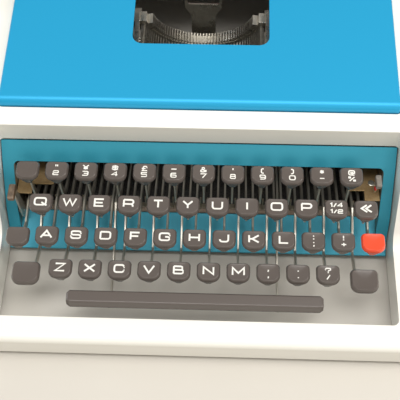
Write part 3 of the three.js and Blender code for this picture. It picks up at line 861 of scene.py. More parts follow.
@dataclass
class KeyboardSurround:
    """Painted sheet round the lever window, and the apron in front of it."""

    half_width: float = 130.2
    window_half: float = 123.0
    sheet: float = 1.6
    window_top: float = 57.5
    line: tuple[Pair, ...] = ((-48.6, 67.8), (-57.7, 57.5), (-79.5, 28.5), (-88.5, 8.0))
    apron_line: tuple[Pair, ...] = ((-72.5, 16.0), (-94.6, 6.2), (-97.4, 5.3))

    def panel(self) -> None:
        """Builds the sloping panel with its window, whose upper corners are round."""
        panel = Form().prism(strip(self.line, self.sheet / 2), Plane.YZ,
                             -self.half_width, self.half_width)
        half = self.window_half
        corners = rounded([(-half + 1.2, -10), (half - 1.2, -10), (half, self.window_top, 3.5),
                           (-half, self.window_top, 3.5)])
        panel.carve(Form().prism(corners, Plane.XZ, -110, -50)).soften(0.35, 2)
        panel.piece("surround_panel", "machine", SURROUND_BLUE_SHADED, slot="surround_teal",
                    replaces=["chassis"], crease=50)

    def apron(self) -> None:
        """Builds the apron, with a rolled front edge."""
        apron = Form().prism(strip(self.apron_line, self.sheet / 2), Plane.YZ,
                             -self.half_width, self.half_width, 0.6, 3)
        apron.piece("surround_apron", "machine", SURROUND_BLUE_SHADED, slot="surround_teal", crease=50)


# ---- chassis


@dataclass
class Chassis:
    """Steel frame inside the body."""

    plate: Pair = (122.6, 124.6)
    span: float = 123.0
    fulcrum: Pair = (84.0, 11.0)
    rail_top: float = 56.0
    rails: Pair = (100.0, 134.0)
    spool_x: float = 95.0
    spool_y: float = 5.0
    post_x: float = 54.0
    post_y: float = 58.0
    windows: tuple[tuple[Pair, Pair], ...] = (
        ((-40, -8), (22, 42)), ((14, 46), (24, 44)), ((104, 138), (18, 40)))
    screws: tuple[Pair, ...] = ((-62, 12), (66, 48), (144, 48), (144, 12))
    spool_deck: Pair = (50.0, 51.6)
    window_deck: Pair = (38.4, 39.8)
    comb_slots: int = 49
    first_slot: float = -1.375

    def side_plates(self) -> None:
        """Builds the two side plates, with cut-outs and screws."""
        corners = rounded([(-85, 8), (-79.5, 28.5), (-58.5, self.rail_top, 4),
                           (150, self.rail_top, 4), (150, 4, 4), (-70, 4)])
        for side, name in SIDES:
            low, high = mirrored(side, *self.plate)
            plate = Form().prism(corners, Plane.YZ, low, high)
            plate.carve(*(Form().prism(rectangle(y, z, 5), Plane.YZ, low - 1, high + 1)
                          for y, z in self.windows)).soften(0.3, 1)
            plate.finish_index = 1
            head = mirrored(side, self.plate[0] - 1.2, self.plate[0] + 0.2)
            for place in self.screws:
                plate.lathe([(2.6, head[0]), (2.6, head[1])], Plane.YZ, place, 16, 0.3)
            plate.piece(f"side_plate_{name}", "machine", FRAME_STEEL, TYPE_STEEL)

    def comb(self) -> None:
        """Builds the comb that guides the key levers, a dark sheet of painted shade under them, and
        the felt strip along its foot.
        """
        comb = Form().box((-self.span, self.span), (-69, -65), (8, 16.5), 0.4)
        tooth = [(-68.6, 16), (-65.4, 16), (-65.6, 26), (-66.6, 27.5), (-67.8, 26)]
        for count in range(self.comb_slots):
            slot = self.first_slot + 0.25 * count
            if slot not in Keyboard.BAR_SLOTS:
                x = Keyboard.slot_x(slot)
                comb.prism(tooth, Plane.YZ, x - 0.45, x + 0.45)
        comb.piece("lever_comb", "machine", FRAME_STEEL)
        # Painted shade: a dark sheet that stands for the shade deep inside the machine under the
        # levers.
        pan = Form().prism(strip([(-64.5, 9.0), (-61.0, 4.6), (-26.0, 4.6)], 0.6), Plane.YZ,
                           -self.span, self.span, 0.25)
        pan.piece("painted_shade_pan", "machine", DARK_METAL)
        felt = Form().box((-120.5, 120.5), (-72.4, -69.3), (13.4, 17.2), 0.8, 3)
        felt.piece("comb_felt", "machine", FELT)

    def rod_and_beam(self) -> None:
        """Builds the fulcrum rod of the key levers and the beam under the type basket."""
        y, z = self.fulcrum
        rod = Form().lathe([(2.0, -self.span), (2.0, self.span)], Plane.YZ, (y, z), 24, 0.3)
        rod.piece("fulcrum_rod", "machine", TYPE_STEEL)
        beam = Form().prism(
            [(52, 16), (64, 16), (64, 21), (62.4, 21), (62.4, 17.6), (53.6, 17.6), (53.6, 21),
             (52, 21)], Plane.YZ, -self.span, self.span, 0.25)
        beam.finish_index = 1
        for x in (-self.post_x, self.post_x):
            beam.lathe([(2.5, 16.5), (2.5, 79.4), (1.9, 80.0)], Plane.XY, (x, self.post_y), 20)
            beam.lathe([(5.0, 16.6), (5.0, 20.6)], Plane.XY, (x, self.post_y), 24, 0.4)
        beam.piece("basket_beam", "machine", FRAME_STEEL, TYPE_STEEL)

    def carriage_rails(self) -> None:
        """Builds the two carriage rails, each with a groove for the rollers."""
        top = self.rail_top
        for y, name in zip(self.rails, ("front", "rear")):
            outline = [(y - 4, 49), (y + 4, 49), (y + 4, top), (y + 1.6, top), (y, top - 1.6),
                       (y - 1.6, top), (y - 4, top)]
            rail = Form().prism(outline, Plane.YZ, -self.span, self.span, 0.3)
            rail.piece(f"carriage_rail_{name}", "machine", TYPE_STEEL)

    def spool_platforms(self) -> None:
        """Builds the two spool platforms, their pins and the arms that lead the ribbon back."""
        for side, name in SIDES:
            x = side * self.spool_x
            plate = Form().prism(rectangle(mirrored(side, 66, self.span), (-24, 34), 5), Plane.XY,
                                 *self.spool_deck, 0.3)
            plate.box(mirrored(side, 64, 72), (30, 77), self.spool_deck, 0.3)
            plate.finish_index = 1
            plate.lathe([(2.9, 51), (2.9, 71.6), (2.2, 72.9)], Plane.XY, (x, self.spool_y), 20)
            plate.lathe([(5.5, 51.4), (5.5, 53.4)], Plane.XY, (x, self.spool_y), 24, 0.3)
            plate.piece(f"spool_platform_{name}", "machine", FRAME_STEEL, TYPE_STEEL)

    def window_plates(self) -> None:
        """Builds the flat plates that close the two ends of the lever window."""
        for side, name in SIDES:
            inner = 98.0 if side < 0 else 101.0
            corners = [(122.2, -73), (112.0, -73), (112.0, -65.5), (inner, -65.5), (inner, -34),
                       (122.2, -34)]
            plate = Form().prism([(side * a, b) for a, b in corners], Plane.XY,
                                 *self.window_deck, 0.3)
            plate.finish_index = 1
            plate.lathe([(2.2, 39.6), (2.2, 40.8), (1.6, 41.1)], Plane.XY, (side * 117, -60), 16)
            plate.piece(f"window_plate_{name}", "machine", STEEL_PAINTED_WOOD_REFLECTION, TYPE_STEEL)


@dataclass
class HandLever:
    """A small hand lever at one end of the lever window."""

    name: str
    body: str
    x: float
    pivot: Pair
    tab_x: Pair
    tab_y: Pair
    finish: Finish
    top: float = 57.0

    def build(self) -> None:
        """Builds the arm and its thumb tab."""
        y, z = self.pivot
        low, high = self.tab_y
        arm = Form().prism(
            rounded([(y - 4, z - 4, 3.4), (y + 4, z - 4, 3.4), (y + 4, z + 5, 2),
                     (high - 1, 54), (high - 6, 54), (y - 4, z + 5, 2)]),
            Plane.YZ, self.x - 0.7, self.x + 0.7, 0.2)
        arm.finish_index = 1
        mid_x, mid_y = (self.tab_x[0] + self.tab_x[1]) / 2, (low + high) / 2
        tab = rectangle(self.tab_x, self.tab_y, 0.9, 4)
        levels = ((53.0, 0.86), (53.6, 1.0), (self.top - 0.7, 1.0), (self.top, 0.84))
        arm.rings([[(mid_x + (a - mid_x) * grow, mid_y + (b - mid_y) * grow, level)
                    for a, b in tab] for level, grow in levels])
        arm.piece(self.name, self.body, LEVER_STEEL, self.finish, slot="lever_steel",
                  replaces=[self.body])


@dataclass
class SideLevers:
    """Colour selector on the right, tab set lever on the left."""

    selector_x: float = 118.9
    selector_pivot: Pair = (-62, 24)
    tab_set_x: float = -119.9
    tab_set_pivot: Pair = (-78, 24)

    def build(self) -> None:
        """Builds both levers, the selector's red dot and the pins they turn on."""
        HandLever("colour_selector_lever", "ribbon_selector", self.selector_x,
                  self.selector_pivot, (117.1, 121.0), (-72, -63), KNOB_GREY).build()
        dot = Form().lathe([(1.5, 118.0), (1.5, 116.9), (1.0, 116.6)], Plane.YZ, (-70.2, 51.0), 16)
        dot.piece("selector_red_dot", "ribbon_selector", DOT_RED)
        HandLever("tab_set_hand_lever", "tab_set_lever", self.tab_set_x, self.tab_set_pivot,
                  (-123.4, -118.9), (-87, -76), KNOB_BROWN).build()
        pins = Form()
        pins.lathe([(1.5, 117.9), (1.5, 123.2)], Plane.YZ, self.selector_pivot, 14, 0.2)
        pins.lathe([(1.5, -123.2), (1.5, -118.9)], Plane.YZ, self.tab_set_pivot, 14, 0.2)
        pins.piece("side_lever_pins", "machine", TYPE_STEEL)


# ---- ribbon


@dataclass
class RibbonDrive:
    """Two spools, the ribbon between them, and its guides at the printing point."""

    x: float = 95.0
    y: float = 5.0
    bottom: float = 54.0
    top: float = 70.0
    radius: float = 24.0
    wound: float = 19.5
    bore: float = 3.4
    band: float = 6.4

    def spools(self) -> None:
        """Builds the two spools and the ribbon wound on them."""
        low, high, edge = self.bottom, self.top, self.radius
        hub, coil_low, coil_high = 9.0, low + 1.4, high - 1.5
        profile = [(self.bore, low), (edge - 0.6, low), (edge, low + 0.4), (edge, low + 0.8),
                   (edge - 0.6, low + 1.2), (hub, low + 1.2), (hub, high - 1.2),
                   (edge - 0.6, high - 1.2), (edge, high - 0.8), (edge, high - 0.4),
                   (edge - 0.6, high), (11.0, high), (10.0, high - 0.7), (6.4, high - 0.7),
                   (5.8, high), (self.bore, high)]
        coil = [(hub + 0.2, coil_low), (self.wound, coil_low), (self.wound, coil_high),
                (hub + 0.2, coil_high)]
        for side, name in SIDES:
            centre = (side * self.x, self.y)
            spool = Form().lathe(profile, Plane.XY, centre, 48, closed=True)
            spool.finish_index = 1
            spool.lathe(coil, Plane.XY, centre, 48, closed=True)
            spool.piece(f"ribbon_spool_{name}", f"spool_{name}", DARK_METAL, RIBBON_BLACK,
                        slot="spool_steel", replaces=[f"spool_{name}"])

    def ribbon(self) -> None:
        """Builds the ribbon, black above and red below, on its way past the printing point."""
        half_path = [(97.0, 24.6, 62.0), (86.0, 42.0, 63.0), (74.0, 62.0, 65.5), (68.5, 74.0, 68.0),
                     (64.0, 76.8, 69.5), (46.0, 78.6, 73.0), (26.0, 79.6, 76.0), (10.0, 80.0, 77.0)]
        path = [(-x, y, z) for x, y, z in half_path] + half_path[::-1]
        ribbon = Form()
        for index, (low, high) in enumerate(((0.0, self.band), (-self.band, 0.0))):
            ribbon.finish_index = index
            section = ((-0.06, low), (0.06, low), (0.06, high), (-0.06, high))
            ribbon.rings([[(x, y + b, z + c) for b, c in section] for x, y, z in path])
        ribbon.piece("ribbon", "machine", RIBBON_BLACK, RIBBON_RED)

    def guides(self) -> None:
        """Builds the guide pins and the ribbon vibrator."""
        guides = Form()
        for side in (-1, 1):
            guides.lathe([(2.6, 51.4), (2.6, 60), (1.8, 60.6), (1.8, 75.6), (2.6, 76.2),
                          (2.6, 77.2)], Plane.XY, (side * 68.0, 72.4), 20)
        guides.piece("ribbon_guide_pins", "machine", TYPE_STEEL)
        vibrator = Form().prism(
            rounded([(-9, 21), (9, 21), (9, 58, 2), (13.4, 66, 2), (13.4, 84.4, 1),
                     (11.4, 84.4, 1), (11.4, 70, 2), (-11.4, 70, 2), (-11.4, 84.4, 1),
                     (-13.4, 84.4, 1), (-13.4, 66, 2), (-9, 58, 2)]),
            Plane.XZ, 70.0, 71.2, 0.2)
        vibrator.box((-9, 9), (62.5, 71.2), (21.1, 22.4), 0.2)
        for side in (-1, 1):
            across = mirrored(side, 11.4, 13.4)
            vibrator.box(across, (70.6, 81.0), (82.8, 84.4), 0.2)
            vibrator.box(across, (80.3, 81.0), (70.0, 84.4), 0.2)
        vibrator.piece("ribbon_vibrator", "machine", TYPE_STEEL)


# ---- type basket


@dataclass
class TypeBasket:
    """Slotted segment with its type bars, which lie in a half cylinder."""

    tilt: float = math.radians(12)
    centre: Triple = (0.0, 84.5 - 32 * math.cos(math.radians(12)),
                      86.0 - 32 * math.sin(math.radians(12)))
    radius: float = 44.0
    bars: int = 44
    spread: float = math.radians(75)

    def _spot(self, angle: float, radius: float, station: float, offset: float = 0.0) -> Triple:
        """Place of a point given round and along the basket's axis.

        Args:
            angle: turn from straight down.
            radius: distance from the axis.
            station: distance along the axis, positive towards the platen.
            offset: distance to the side, across the radius.

        Returns:
            The place in the machine's frame.
        """
        across = radius * math.sin(angle) + offset * math.cos(angle)
        down = radius * math.cos(angle) - offset * math.sin(angle)
        cos, sin = math.cos(self.tilt), math.sin(self.tilt)
        return (across, self.centre[1] + station * cos + down * sin,
                self.centre[2] + station * sin - down * cos)

    def _arc(self, form: Form, radii: Pair, stations: Pair, spread: float, steps: int) -> None:
        """Adds part of a ring round the axis.

        Args:
            form: the form to add to.
            radii: inner and outer radius.
            stations: its two ends along the axis.
            spread: half its angle.
            steps: number of sections.
        """
        section = ((0, 0), (1, 0), (1, 1), (0, 1))
        angles = [spread * (2 * step / steps - 1) for step in range(steps + 1)]
        form.rings([[self._spot(angle, radii[a], stations[b]) for a, b in section]
                    for angle in angles], 0.3)

    def _plate(self, form: Form, angle: float, points: Sequence[Pair], width: float) -> None:
        """Adds a flat piece that stands on the axis.

        Args:
            form: the form to add to.
            angle: its turn from straight down.
            points: (station, radius) outline.
            width: its thickness.
        """
        rings = [[self._spot(angle, radius, station, offset) for station, radius in points]
                 for offset in (-width / 2, width / 2)]
        form.rings(rings)

    def segment(self) -> None:
        """Builds the segment, its fins, arms and guide lugs, and the padded rest."""
        form = Form()
        edge = self.spread + 0.14
        self._arc(form, (self.radius - 4, self.radius + 5), (-3.8, 3.8), edge, 60)
        gap = 2 * self.spread / (self.bars - 1)
        for index in range(self.bars + 1):
            angle = -self.spread - gap / 2 + gap * index
            self._plate(form, angle, [(-3.8, 36.4), (3.8, 36.4), (3.8, 40.4), (-3.8, 40.4)], 1.0)
        for side in (-1, 1):
            self._plate(form, side * edge, [(-44, 45), (3, 45), (3, 48), (-44, 48)], 2.8)
            form.box(mirrored(side, 44, 51), (52, 64), (66, 72), 0.4)
            form.lathe([(2.9, 66), (5.0, 66), (5.0, 72), (2.9, 72)], Plane.XY, (side * 54, 58), 24,
                       closed=True)
        form.piece("basket_segment", "type_basket", TYPE_STEEL, slot="basket_steel",
                   replaces=["type_basket"])
        rest = Form()
        self._arc(rest, (self.radius + 1.6, self.radius + 3.4), (-44, -38), edge, 48)
        rest.piece("type_bar_rest", "type_basket", FELT_DARK)

    def type_bars(self) -> None:
        """Builds the type bars, each with a type slug at its tip."""
        bars = Form()
        shank = [(-2, 45.4), (-18, 45.4), (-48, 44.9), (-48, 42.8), (-18, 42.6), (-2, 42.0)]
        slug = [(-47.6, 45.3), (-56, 45.3), (-56, 40.8), (-55, 40.5), (-52.6, 40.5), (-51, 42.4),
                (-47.6, 42.4)]
        for index in range(self.bars):
            angle = self.spread * (2 * index / (self.bars - 1) - 1)
            self._plate(bars, angle, shank, 1.1)
            self._plate(bars, angle, slug, 1.8)
        bars.piece("type_bars", "type_basket", TYPE_STEEL)


# ---- carriage


@dataclass
class Carriage:
    """Carriage bed, end plates and covers, paper table, rack and margin stops."""

    platen: Pair = (100.0, 86.0)
    end_plate: Pair = (124.0, 128.0)
    cover_outer: float = 146.0
    floor: float = 59.0
    back: float = 172.5
    bail_pivot: Pair = (112.0, 92.0)
    return_pivot: Triple = (-137.0, 92.0, 100.0)
    tooth: float = 2.54
    teeth: int = 92
    stop_x: float = 96.0
    bed_half: float = 143.0
    rail_half: float = 120.0

    def bed(self) -> None:
        """Builds the bed with its rack and its margin rail, then the two margin stops."""
        half, back, rail = self.bed_half, self.back, self.rail_half
        bed = Form().box((-half, half), (86, 152), (self.floor, 61.4), 0.5)
        bed.prism([(150, 59.2), (back, 59.2), (back, 64), (back - 1.6, 64), (back - 1.6, 61),
                   (150, 61)], Plane.YZ, -half, half, 0.3)
        bed.finish_index = 1
        bed.wire([(-rail, 146, 69), (rail, 146, 69)], 2.0, 14)
        for x in (-rail, rail):
            bed.box((x - 2, x + 2), (141, 151), (61, 72), 0.5)
        end, tooth = 118.0, self.tooth
        teeth = [(-end, 57.0)]
        for index in range(self.teeth):
            x = -end + tooth * index
            teeth += [(x + 0.3, 56.5), (x + 1.5, 56.5), (x + 1.9, 57.4), (x + tooth, 57.4)]
        rack = teeth + [(end, 59.2), (-end, 59.2)]
        bed.prism(rack, Plane.XZ, 108, 111)
        bed.piece("carriage_bed", "carriage", DARK_METAL, TYPE_STEEL, replaces=["carriage"])
        for side, name in SIDES:
            x = side * self.stop_x
            stop = Form().box((x - 4, x + 4), (141.5, 150.5), (64.5, 73.5), 0.8)
            stop.prism(rounded([(x - 3, 147), (x + 3, 147), (x + 3, 158, 2.5), (x - 3, 158, 2.5)]),
                       Plane.XY, 72, 74, 0.4)
            stop.piece(f"margin_stop_{name}", "carriage", CHROME)

    def ends(self) -> None:
        """Builds the end plates and covers, the return lever's pin and the paper release."""
        plate = rounded([(86, self.floor), (86, 92, 8), (96, 97.5, 4), (120, 97.5, 4),
                         (124, self.floor)])
        cover = rounded([(82, 62, 3), (82, 100, 9), (128, 100, 9), (128, 62, 3)], 8)
        for side, name in SIDES:
            low, high = mirrored(side, *self.end_plate)
            bore = Form().lathe([(4.5, -150), (4.5, 150)], Plane.YZ, self.platen, 32)
            pivot = Form().lathe([(1.9, low - 1), (1.9, high + 1)], Plane.YZ, self.bail_pivot, 16)
            steel = Form().prism(plate, Plane.YZ, low, high)
            steel.carve(bore, pivot).soften(0.4)
            steel.piece(f"carriage_end_plate_{name}", "carriage", FRAME_STEEL)
            low, high = mirrored(side, self.end_plate[1], self.cover_outer)
            bore = Form().lathe([(5.2, -150), (5.2, 150)], Plane.YZ, self.platen, 32)
            shell = Form().prism(cover, Plane.YZ, low, high, 2.6, 4)
            shell.carve(bore)
            shell.piece(f"carriage_end_cover_{name}", "carriage", COVER_BLUE, slot="cover_blue")
        x, y, z = self.return_pivot
        pin = Form().lathe([(3.0, z - 2), (3.0, z + 3.2), (4.6, z + 3.2), (4.6, z + 4.2),
                            (3.6, z + 5.2)], Plane.XY, (x, y), 24)
        pin.piece("return_lever_pin", "carriage", CHROME)
        release = Form().prism(rounded([(112, 98), (116, 98), (118, 104), (112, 108.4, 1.6),
                                        (108.6, 108.4, 1.4), (112, 103.6)]),
                               Plane.YZ, 133, 139, 0.5)
        release.piece("paper_release_lever", "carriage", CHROME)

    def paper_table(self) -> None:
        """Builds the paper table behind the platen, with three small marks on it."""
        table = Form().prism(strip([(125, 61), (125, 80), (167.4, 104.6)], 0.9), Plane.YZ,
                             -119.6, 119.6, 0.5)
        table.finish_index = 1
        for x in (-40, 0, 40):
            table.box((x - 0.5, x + 0.5), (150, 151), (94, 96), 0)
        table.piece("paper_table", "carriage", COVER_BLUE, CHROME, slot="cover_blue")


@dataclass
class Platen:
    """Rubber roller with its shaft, ratchet wheel and two knobs."""

    centre: Pair = (100.0, 86.0)
    radius: float = 15.5
    half_length: float = 119.0
    knob: Pair = (148.0, 167.0)
    knob_radius: float = 15.0
    knob_levels: tuple[Pair, ...] = (
        (0.0, 0.86), (0.08, 0.98), (0.2, 1.0), (0.8, 1.0), (0.95, 0.93), (1.0, 0.8))

    def build(self) -> None:
        """Builds the roller, then the shaft and ratchet, then the fluted knobs."""
        end = self.half_length
        roller = Form().lathe([(14.4, -end), (self.radius, -end + 1.0), (self.radius, end - 1.0),
                               (14.4, end)], Plane.YZ, self.centre, 64)
        roller.piece("platen_roller", "platen", RUBBER, slot="platen_rubber", replaces=["platen"])
        shaft = Form().lathe([(4.0, -149), (4.0, 149)], Plane.YZ, self.centre, 32, 0.3)
        tips = [13.4 if index % 3 == 0 else 11.8 for index in range(60)]
        shaft.prism(self._wheel(tips), Plane.YZ, -122.6, -120.4, 0.15, 1)
        shaft.piece("platen_shaft", "platen", TYPE_STEEL)
        for side, name in SIDES:
            low, high = (side * value for value in self.knob)
            rings = []
            for share, size in self.knob_levels:
                radius, fluted = self.knob_radius * size, size > 0.9
                radii = [radius * ((1.0 if index % 5 else 0.955) if fluted else 0.97)
                         for index in range(120)]
                rings.append(lay(self._wheel(radii), Plane.YZ, low + (high - low) * share))
            knob = Form().rings(rings)
            knob.piece(f"platen_knob_{name}", "platen", KNOB_BLACK, crease=30)

    def _wheel(self, radii: Sequence[float]) -> list[Pair]:
        """Lays points round the platen's axis.

        Args:
            radii: distance of each point from the axis, in order.

        Returns:
            The points, evenly spread.
        """
        turn = 2 * math.pi / len(radii)
        return [(self.centre[0] + radius * math.cos(turn * index),
                 self.centre[1] + radius * math.sin(turn * index))
                for index, radius in enumerate(radii)]


@dataclass
class PaperBail:
    """Rod with two rollers that holds the paper on the platen."""

    pivot: Pair = (112.0, 92.0)
    rod: Pair = (91.2, 104.9)
    rod_radius: float = 1.5
    rod_half: float = 121.0
    roller_radius: float = 5.0

    def build(self) -> None:
        """Builds the rod and its arms, then the rollers."""
        radius, end = self.rod_radius, self.rod_half
        bail = Form().lathe([(radius, -end), (radius, end)], Plane.YZ, self.rod, 16, 0.2)
        arm = strip([(115, 90.1), (self.rod[0] - 2, self.rod[1] + 1.2)], 2.8)
        for side in (-1, 1):
            bail.prism(arm, Plane.YZ, *mirrored(side, 120.4, 122.4), 0.4)
            bail.lathe([(radius, side * end), (radius, side * 127.8)], Plane.YZ, self.pivot, 14)
        bail.piece("paper_bail_rod", "paper_bail", CHROME, slot="bail_chrome",
                   replaces=["paper_bail"])
        for side, name in SIDES:
            low, high = mirrored(side, 40, 52)
            edge = self.roller_radius - 0.6
            roller = Form().lathe([(edge, low), (self.roller_radius, low + 0.8),
                                   (self.roller_radius, high - 0.8), (edge, high)],
                                  Plane.YZ, self.rod, 28)
            roller.piece(f"bail_roller_{name}", "paper_bail", RUBBER)


@dataclass
class ReturnLever:
    """Chromed lever that turns up a line and pushes the carriage back."""

    pivot: Triple = (-137.0, 92.0, 100.4)
    rest_angle: float = math.radians(-25)

    def build(self) -> None:
        """Builds the lever: a ring on its pivot, a waisted arm and a raised thumb piece."""
        lever = Form()
        eye = [(7 * math.cos(t), 7 * math.sin(t)) for t in
               (math.pi * step / 18 for step in range(19))]
        outline = eye + [(-5.4, -14), (-3.8, -30), (-4.6, -47), (-4.0, -49.8), (4.0, -49.8),
                         (4.6, -47), (3.8, -30), (5.4, -14)]
        lever.prism(outline, Plane.XY, 0, 2)
        hole = Form().prism(circle((0, 0), 3.4), Plane.XY, -1, 3)
        lever.carve(hole).soften(0.45, 3)
        lever.box((-4.3, 4.3), (-49.9, -48.1), (0.6, 8.5), 0.7, 3)
        x, y, z = self.pivot
        place = Matrix.Translation((x, y, z)) @ Matrix.Rotation(self.rest_angle, 4, "Z")
        bmesh.ops.transform(lever.mesh, matrix=place, verts=lever.mesh.verts)
        lever.piece("carriage_return_lever", "return_lever", CHROME, slot="bail_chrome",
                    replaces=["return_lever"])


# ---- ribbon cover


@dataclass
class RibbonCover:
    """Glossy lid over the ribbon and the type basket."""

    half_width: float = 130.0
    front: float = -33.9
    back: float = 64.0
    front_top: float = 91.0
    back_top: float = 95.0
    skirt: float = 83.0
    sheet: float = 2.0
    notch_half: float = 46.0
    notch_front: float = 14.0

    def _profile(self, inset: float) -> list[Pair]:
        """Side outline of the lid.

        Args:
            inset: how far inside the outer face it runs.

        Returns:
            Its points in the YZ plane.
        """
        drop = 2.0 if inset else 0.0
        back = self.back + drop
        return rounded([(self.front + inset, self.skirt - drop),
                        (self.front + inset, self.front_top - inset, 4.8 - inset),
                        (back, self.back_top - inset), (back, self.skirt - drop)], 10)

    def build(self) -> None:
        """Builds the lid, hollow below, with the opening where the type bars print."""
        half = self.half_width
        lid = Form().prism(self._profile(0), Plane.YZ, -half, half, 1.5, 4)
        inner = Form().prism(self._profile(self.sheet), Plane.YZ, -half + self.sheet,
                             half - self.sheet)
        wide, behind = self.notch_half, self.back + 8
        notch = Form().prism(
            rounded([(-wide, self.notch_front, 7), (wide, self.notch_front, 7), (wide, behind),
                     (-wide, behind)]), Plane.XY, 60, 110)
        lid.carve(inner, notch).soften(0.35, 2)
        lid.piece("ribbon_cover_lid", "ribbon_cover", COVER_BLUE, slot="cover_blue",
                  replaces=["ribbon_cover"], crease=50)


# ---- legends


class Legend:
    """Wide, square letters cut as strokes of even width."""

    GRID = 8.0
    DRAWN_HEIGHT = 5.2
    GAP = 1.7
    ARC = 1.5
    PROUD = 0.05
    SUNK = -0.25
    SHAPES: dict[str, tuple[float, str]] = {
        "A": (7.3, "0,0 4,8 8,0 / 1.5,2.6 6.5,2.6"),
        "B": (6.4, "0,0 0,8 / r 0,8 7.4,8 7.4,4.2 0,4.2 / r 0,4.2 8,4.2 8,0 0,0"),
        "C": (6.4, "r 8,1.9 8,0 0,0 0,8 8,8 8,6.1"),
        "D": (6.6, "0,0 0,8 / r 0,8 8,8 8,0 0,0"),
        "E": (5.9, "8,0 0,0 0,8 8,8 / 0,4 7.2,4"),
        "F": (5.8, "0,0 0,8 8,8 / 0,4 7,4"),
        "G": (6.8, "r 4.4,4 8,4 8,0 0,0 0,8 8,8 8,6.2"),
        "H": (6.4, "0,0 0,8 / 8,0 8,8 / 0,4 8,4"),
        "I": (1.2, "4,0 4,8"),
        "J": (5.6, "r 8,8 8,0 0,0 0,2.6"),
        "K": (6.4, "0,0 0,8 / 0,4 2.6,4 8,8 / 2.6,4 8,0"),
        "L": (5.6, "0,8 0,0 8,0"),
        "M": (7.6, "0,0 0,8 4,2.2 8,8 8,0"),
        "N": (6.6, "0,0 0,8 8,0 8,8"),
        "O": (7.2, "rz 0,0 8,0 8,8 0,8"),
        "P": (6.4, "0,0 0,8 / r 0,8 8,8 8,3.2 0,3.2"),
        "Q": (7.6, "rz 0,0 8,0 8,8 0,8 / 4.8,3.2 8.8,-0.8"),
        "R": (6.4, "0,0 0,8 / r 0,8 8,8 8,3.2 0,3.2 / r 5.2,3.2 7.6,3.2 7.6,0"),
        "S": (6.6, "r 8,6.4 8,8 0,8 0,4 8,4 8,0 0,0 0,1.6"),
        "T": (5.9, "0,8 8,8 / 4,8 4,0"),
        "U": (6.4, "r 0,8 0,0 8,0 8,8"),
        "V": (6.8, "0,8 4,0 8,8"),
        "W": (8.7, "0,8 2.1,0 4,7.2 5.9,0 8,8"),
        "X": (6.8, "0,0 8,8 / 0,8 8,0"),
        "Y": (6.2, "0,8 4,3.8 8,8 / 4,3.8 4,0"),
        "Z": (6.2, "0,8 8,8 0,0 8,0"),
        "0": (6.0, "rz 0,0 8,0 8,8 0,8"),
        "1": (2.6, "0,6.4 6,8 6,0"),
        "2": (6.0, "r 0,6.4 0,8 8,8 8,4 0,4 0,0 / 0,0 8,0"),
        "3": (6.0, "r 0,8 8,8 8,0 0,0 / 2,4 8,4"),
        "4": (6.2, "6.2,0 6.2,8 0,2.6 8,2.6"),
        "5": (6.0, "8,8 0,8 0,4.6 / r 0,4.6 8,4.6 8,0 0,0"),
        "6": (6.0, "r 7.4,8 0,8 0,0 8,0 8,4.4 0,4.4"),
        "7": (6.0, "0,8 8,8 3,0"),
        "8": (6.0, "rz 0.4,4.2 7.6,4.2 7.6,8 0.4,8 / rz 0,0 8,0 8,4.2 0,4.2"),
        "9": (6.0, "r 0.6,0 8,0 8,8 0,8 0,3.6 8,3.6"),
        '"': (2.6, "1.2,8 1.2,4.6 / 6.8,8 6.8,4.6"),
        "'": (1.2, "4,8 4,4.6"),
        "¥": (6.0, "0,8 4,4 8,8 / 4,4 4,0 / 1,3.4 7,3.4 / 1,1.4 7,1.4"),
        "$": (6.0, "r 8,6.4 8,7.2 0,7.2 0,4 8,4 8,0.8 0,0.8 0,1.6 / 4,8.8 4,-0.8"),
        "£": (6.0, "r 7.4,6.4 7.4,8 2,8 2,0 / 0,0 8,0 / 0,4 5.4,4"),
        "_": (5.6, "0,4 8,4"),
        "&": (6.4, "r 8,0 1.8,5.6 1.8,8 5.6,8 5.6,5.6 0,2.6 0,0 5,0 8,3.6"),
        "(": (2.6, "r 8,8 0,8 0,0 8,0"),
        ")": (2.6, "r 0,8 8,8 8,0 0,0"),
        "*": (4.6, "4,8 4,1.6 / 0.6,6.6 7.4,3 / 0.6,3 7.4,6.6"),
        "-": (4.8, "0,4 8,4"),
        "@": (6.2, "r 5.8,2.4 2.4,2.4 2.4,5.6 5.8,5.6 5.8,2.4 8,2.4 8,8 0,8 0,0 7.6,0"),
        "%": (6.6, "0.6,0 7.4,8 / z 0,6 2,6 2,8 0,8 / z 6,0 8,0 8,2 6,2"),
        "/": (3.4, "0,0 8,8"),
        "«": (6.6, "4.4,8 0,4 4.4,0 / 8,8 3.6,4 8,0"),
        ":": (1.3, "0,6.4 8,6.4 / 0,1.2 8,1.2"),
        ";": (1.3, "0,6.4 8,6.4 / 5,1.8 3,-1.4"),
        ".": (1.3, "0,2 8,2"),
        ",": (1.3, "5.4,3 2.6,-0.6"),
        "!": (1.3, "4,8 4,3.2 / 0,0.8 8,0.8"),
        "+": (5.0, "4,7 4,1 / 0,4 8,4"),
        "?": (5.8, "r 0,6.6 0,8 8,8 8,4.6 4,4.6 4,3 / 3.2,0.6 4.8,0.6"),
    }

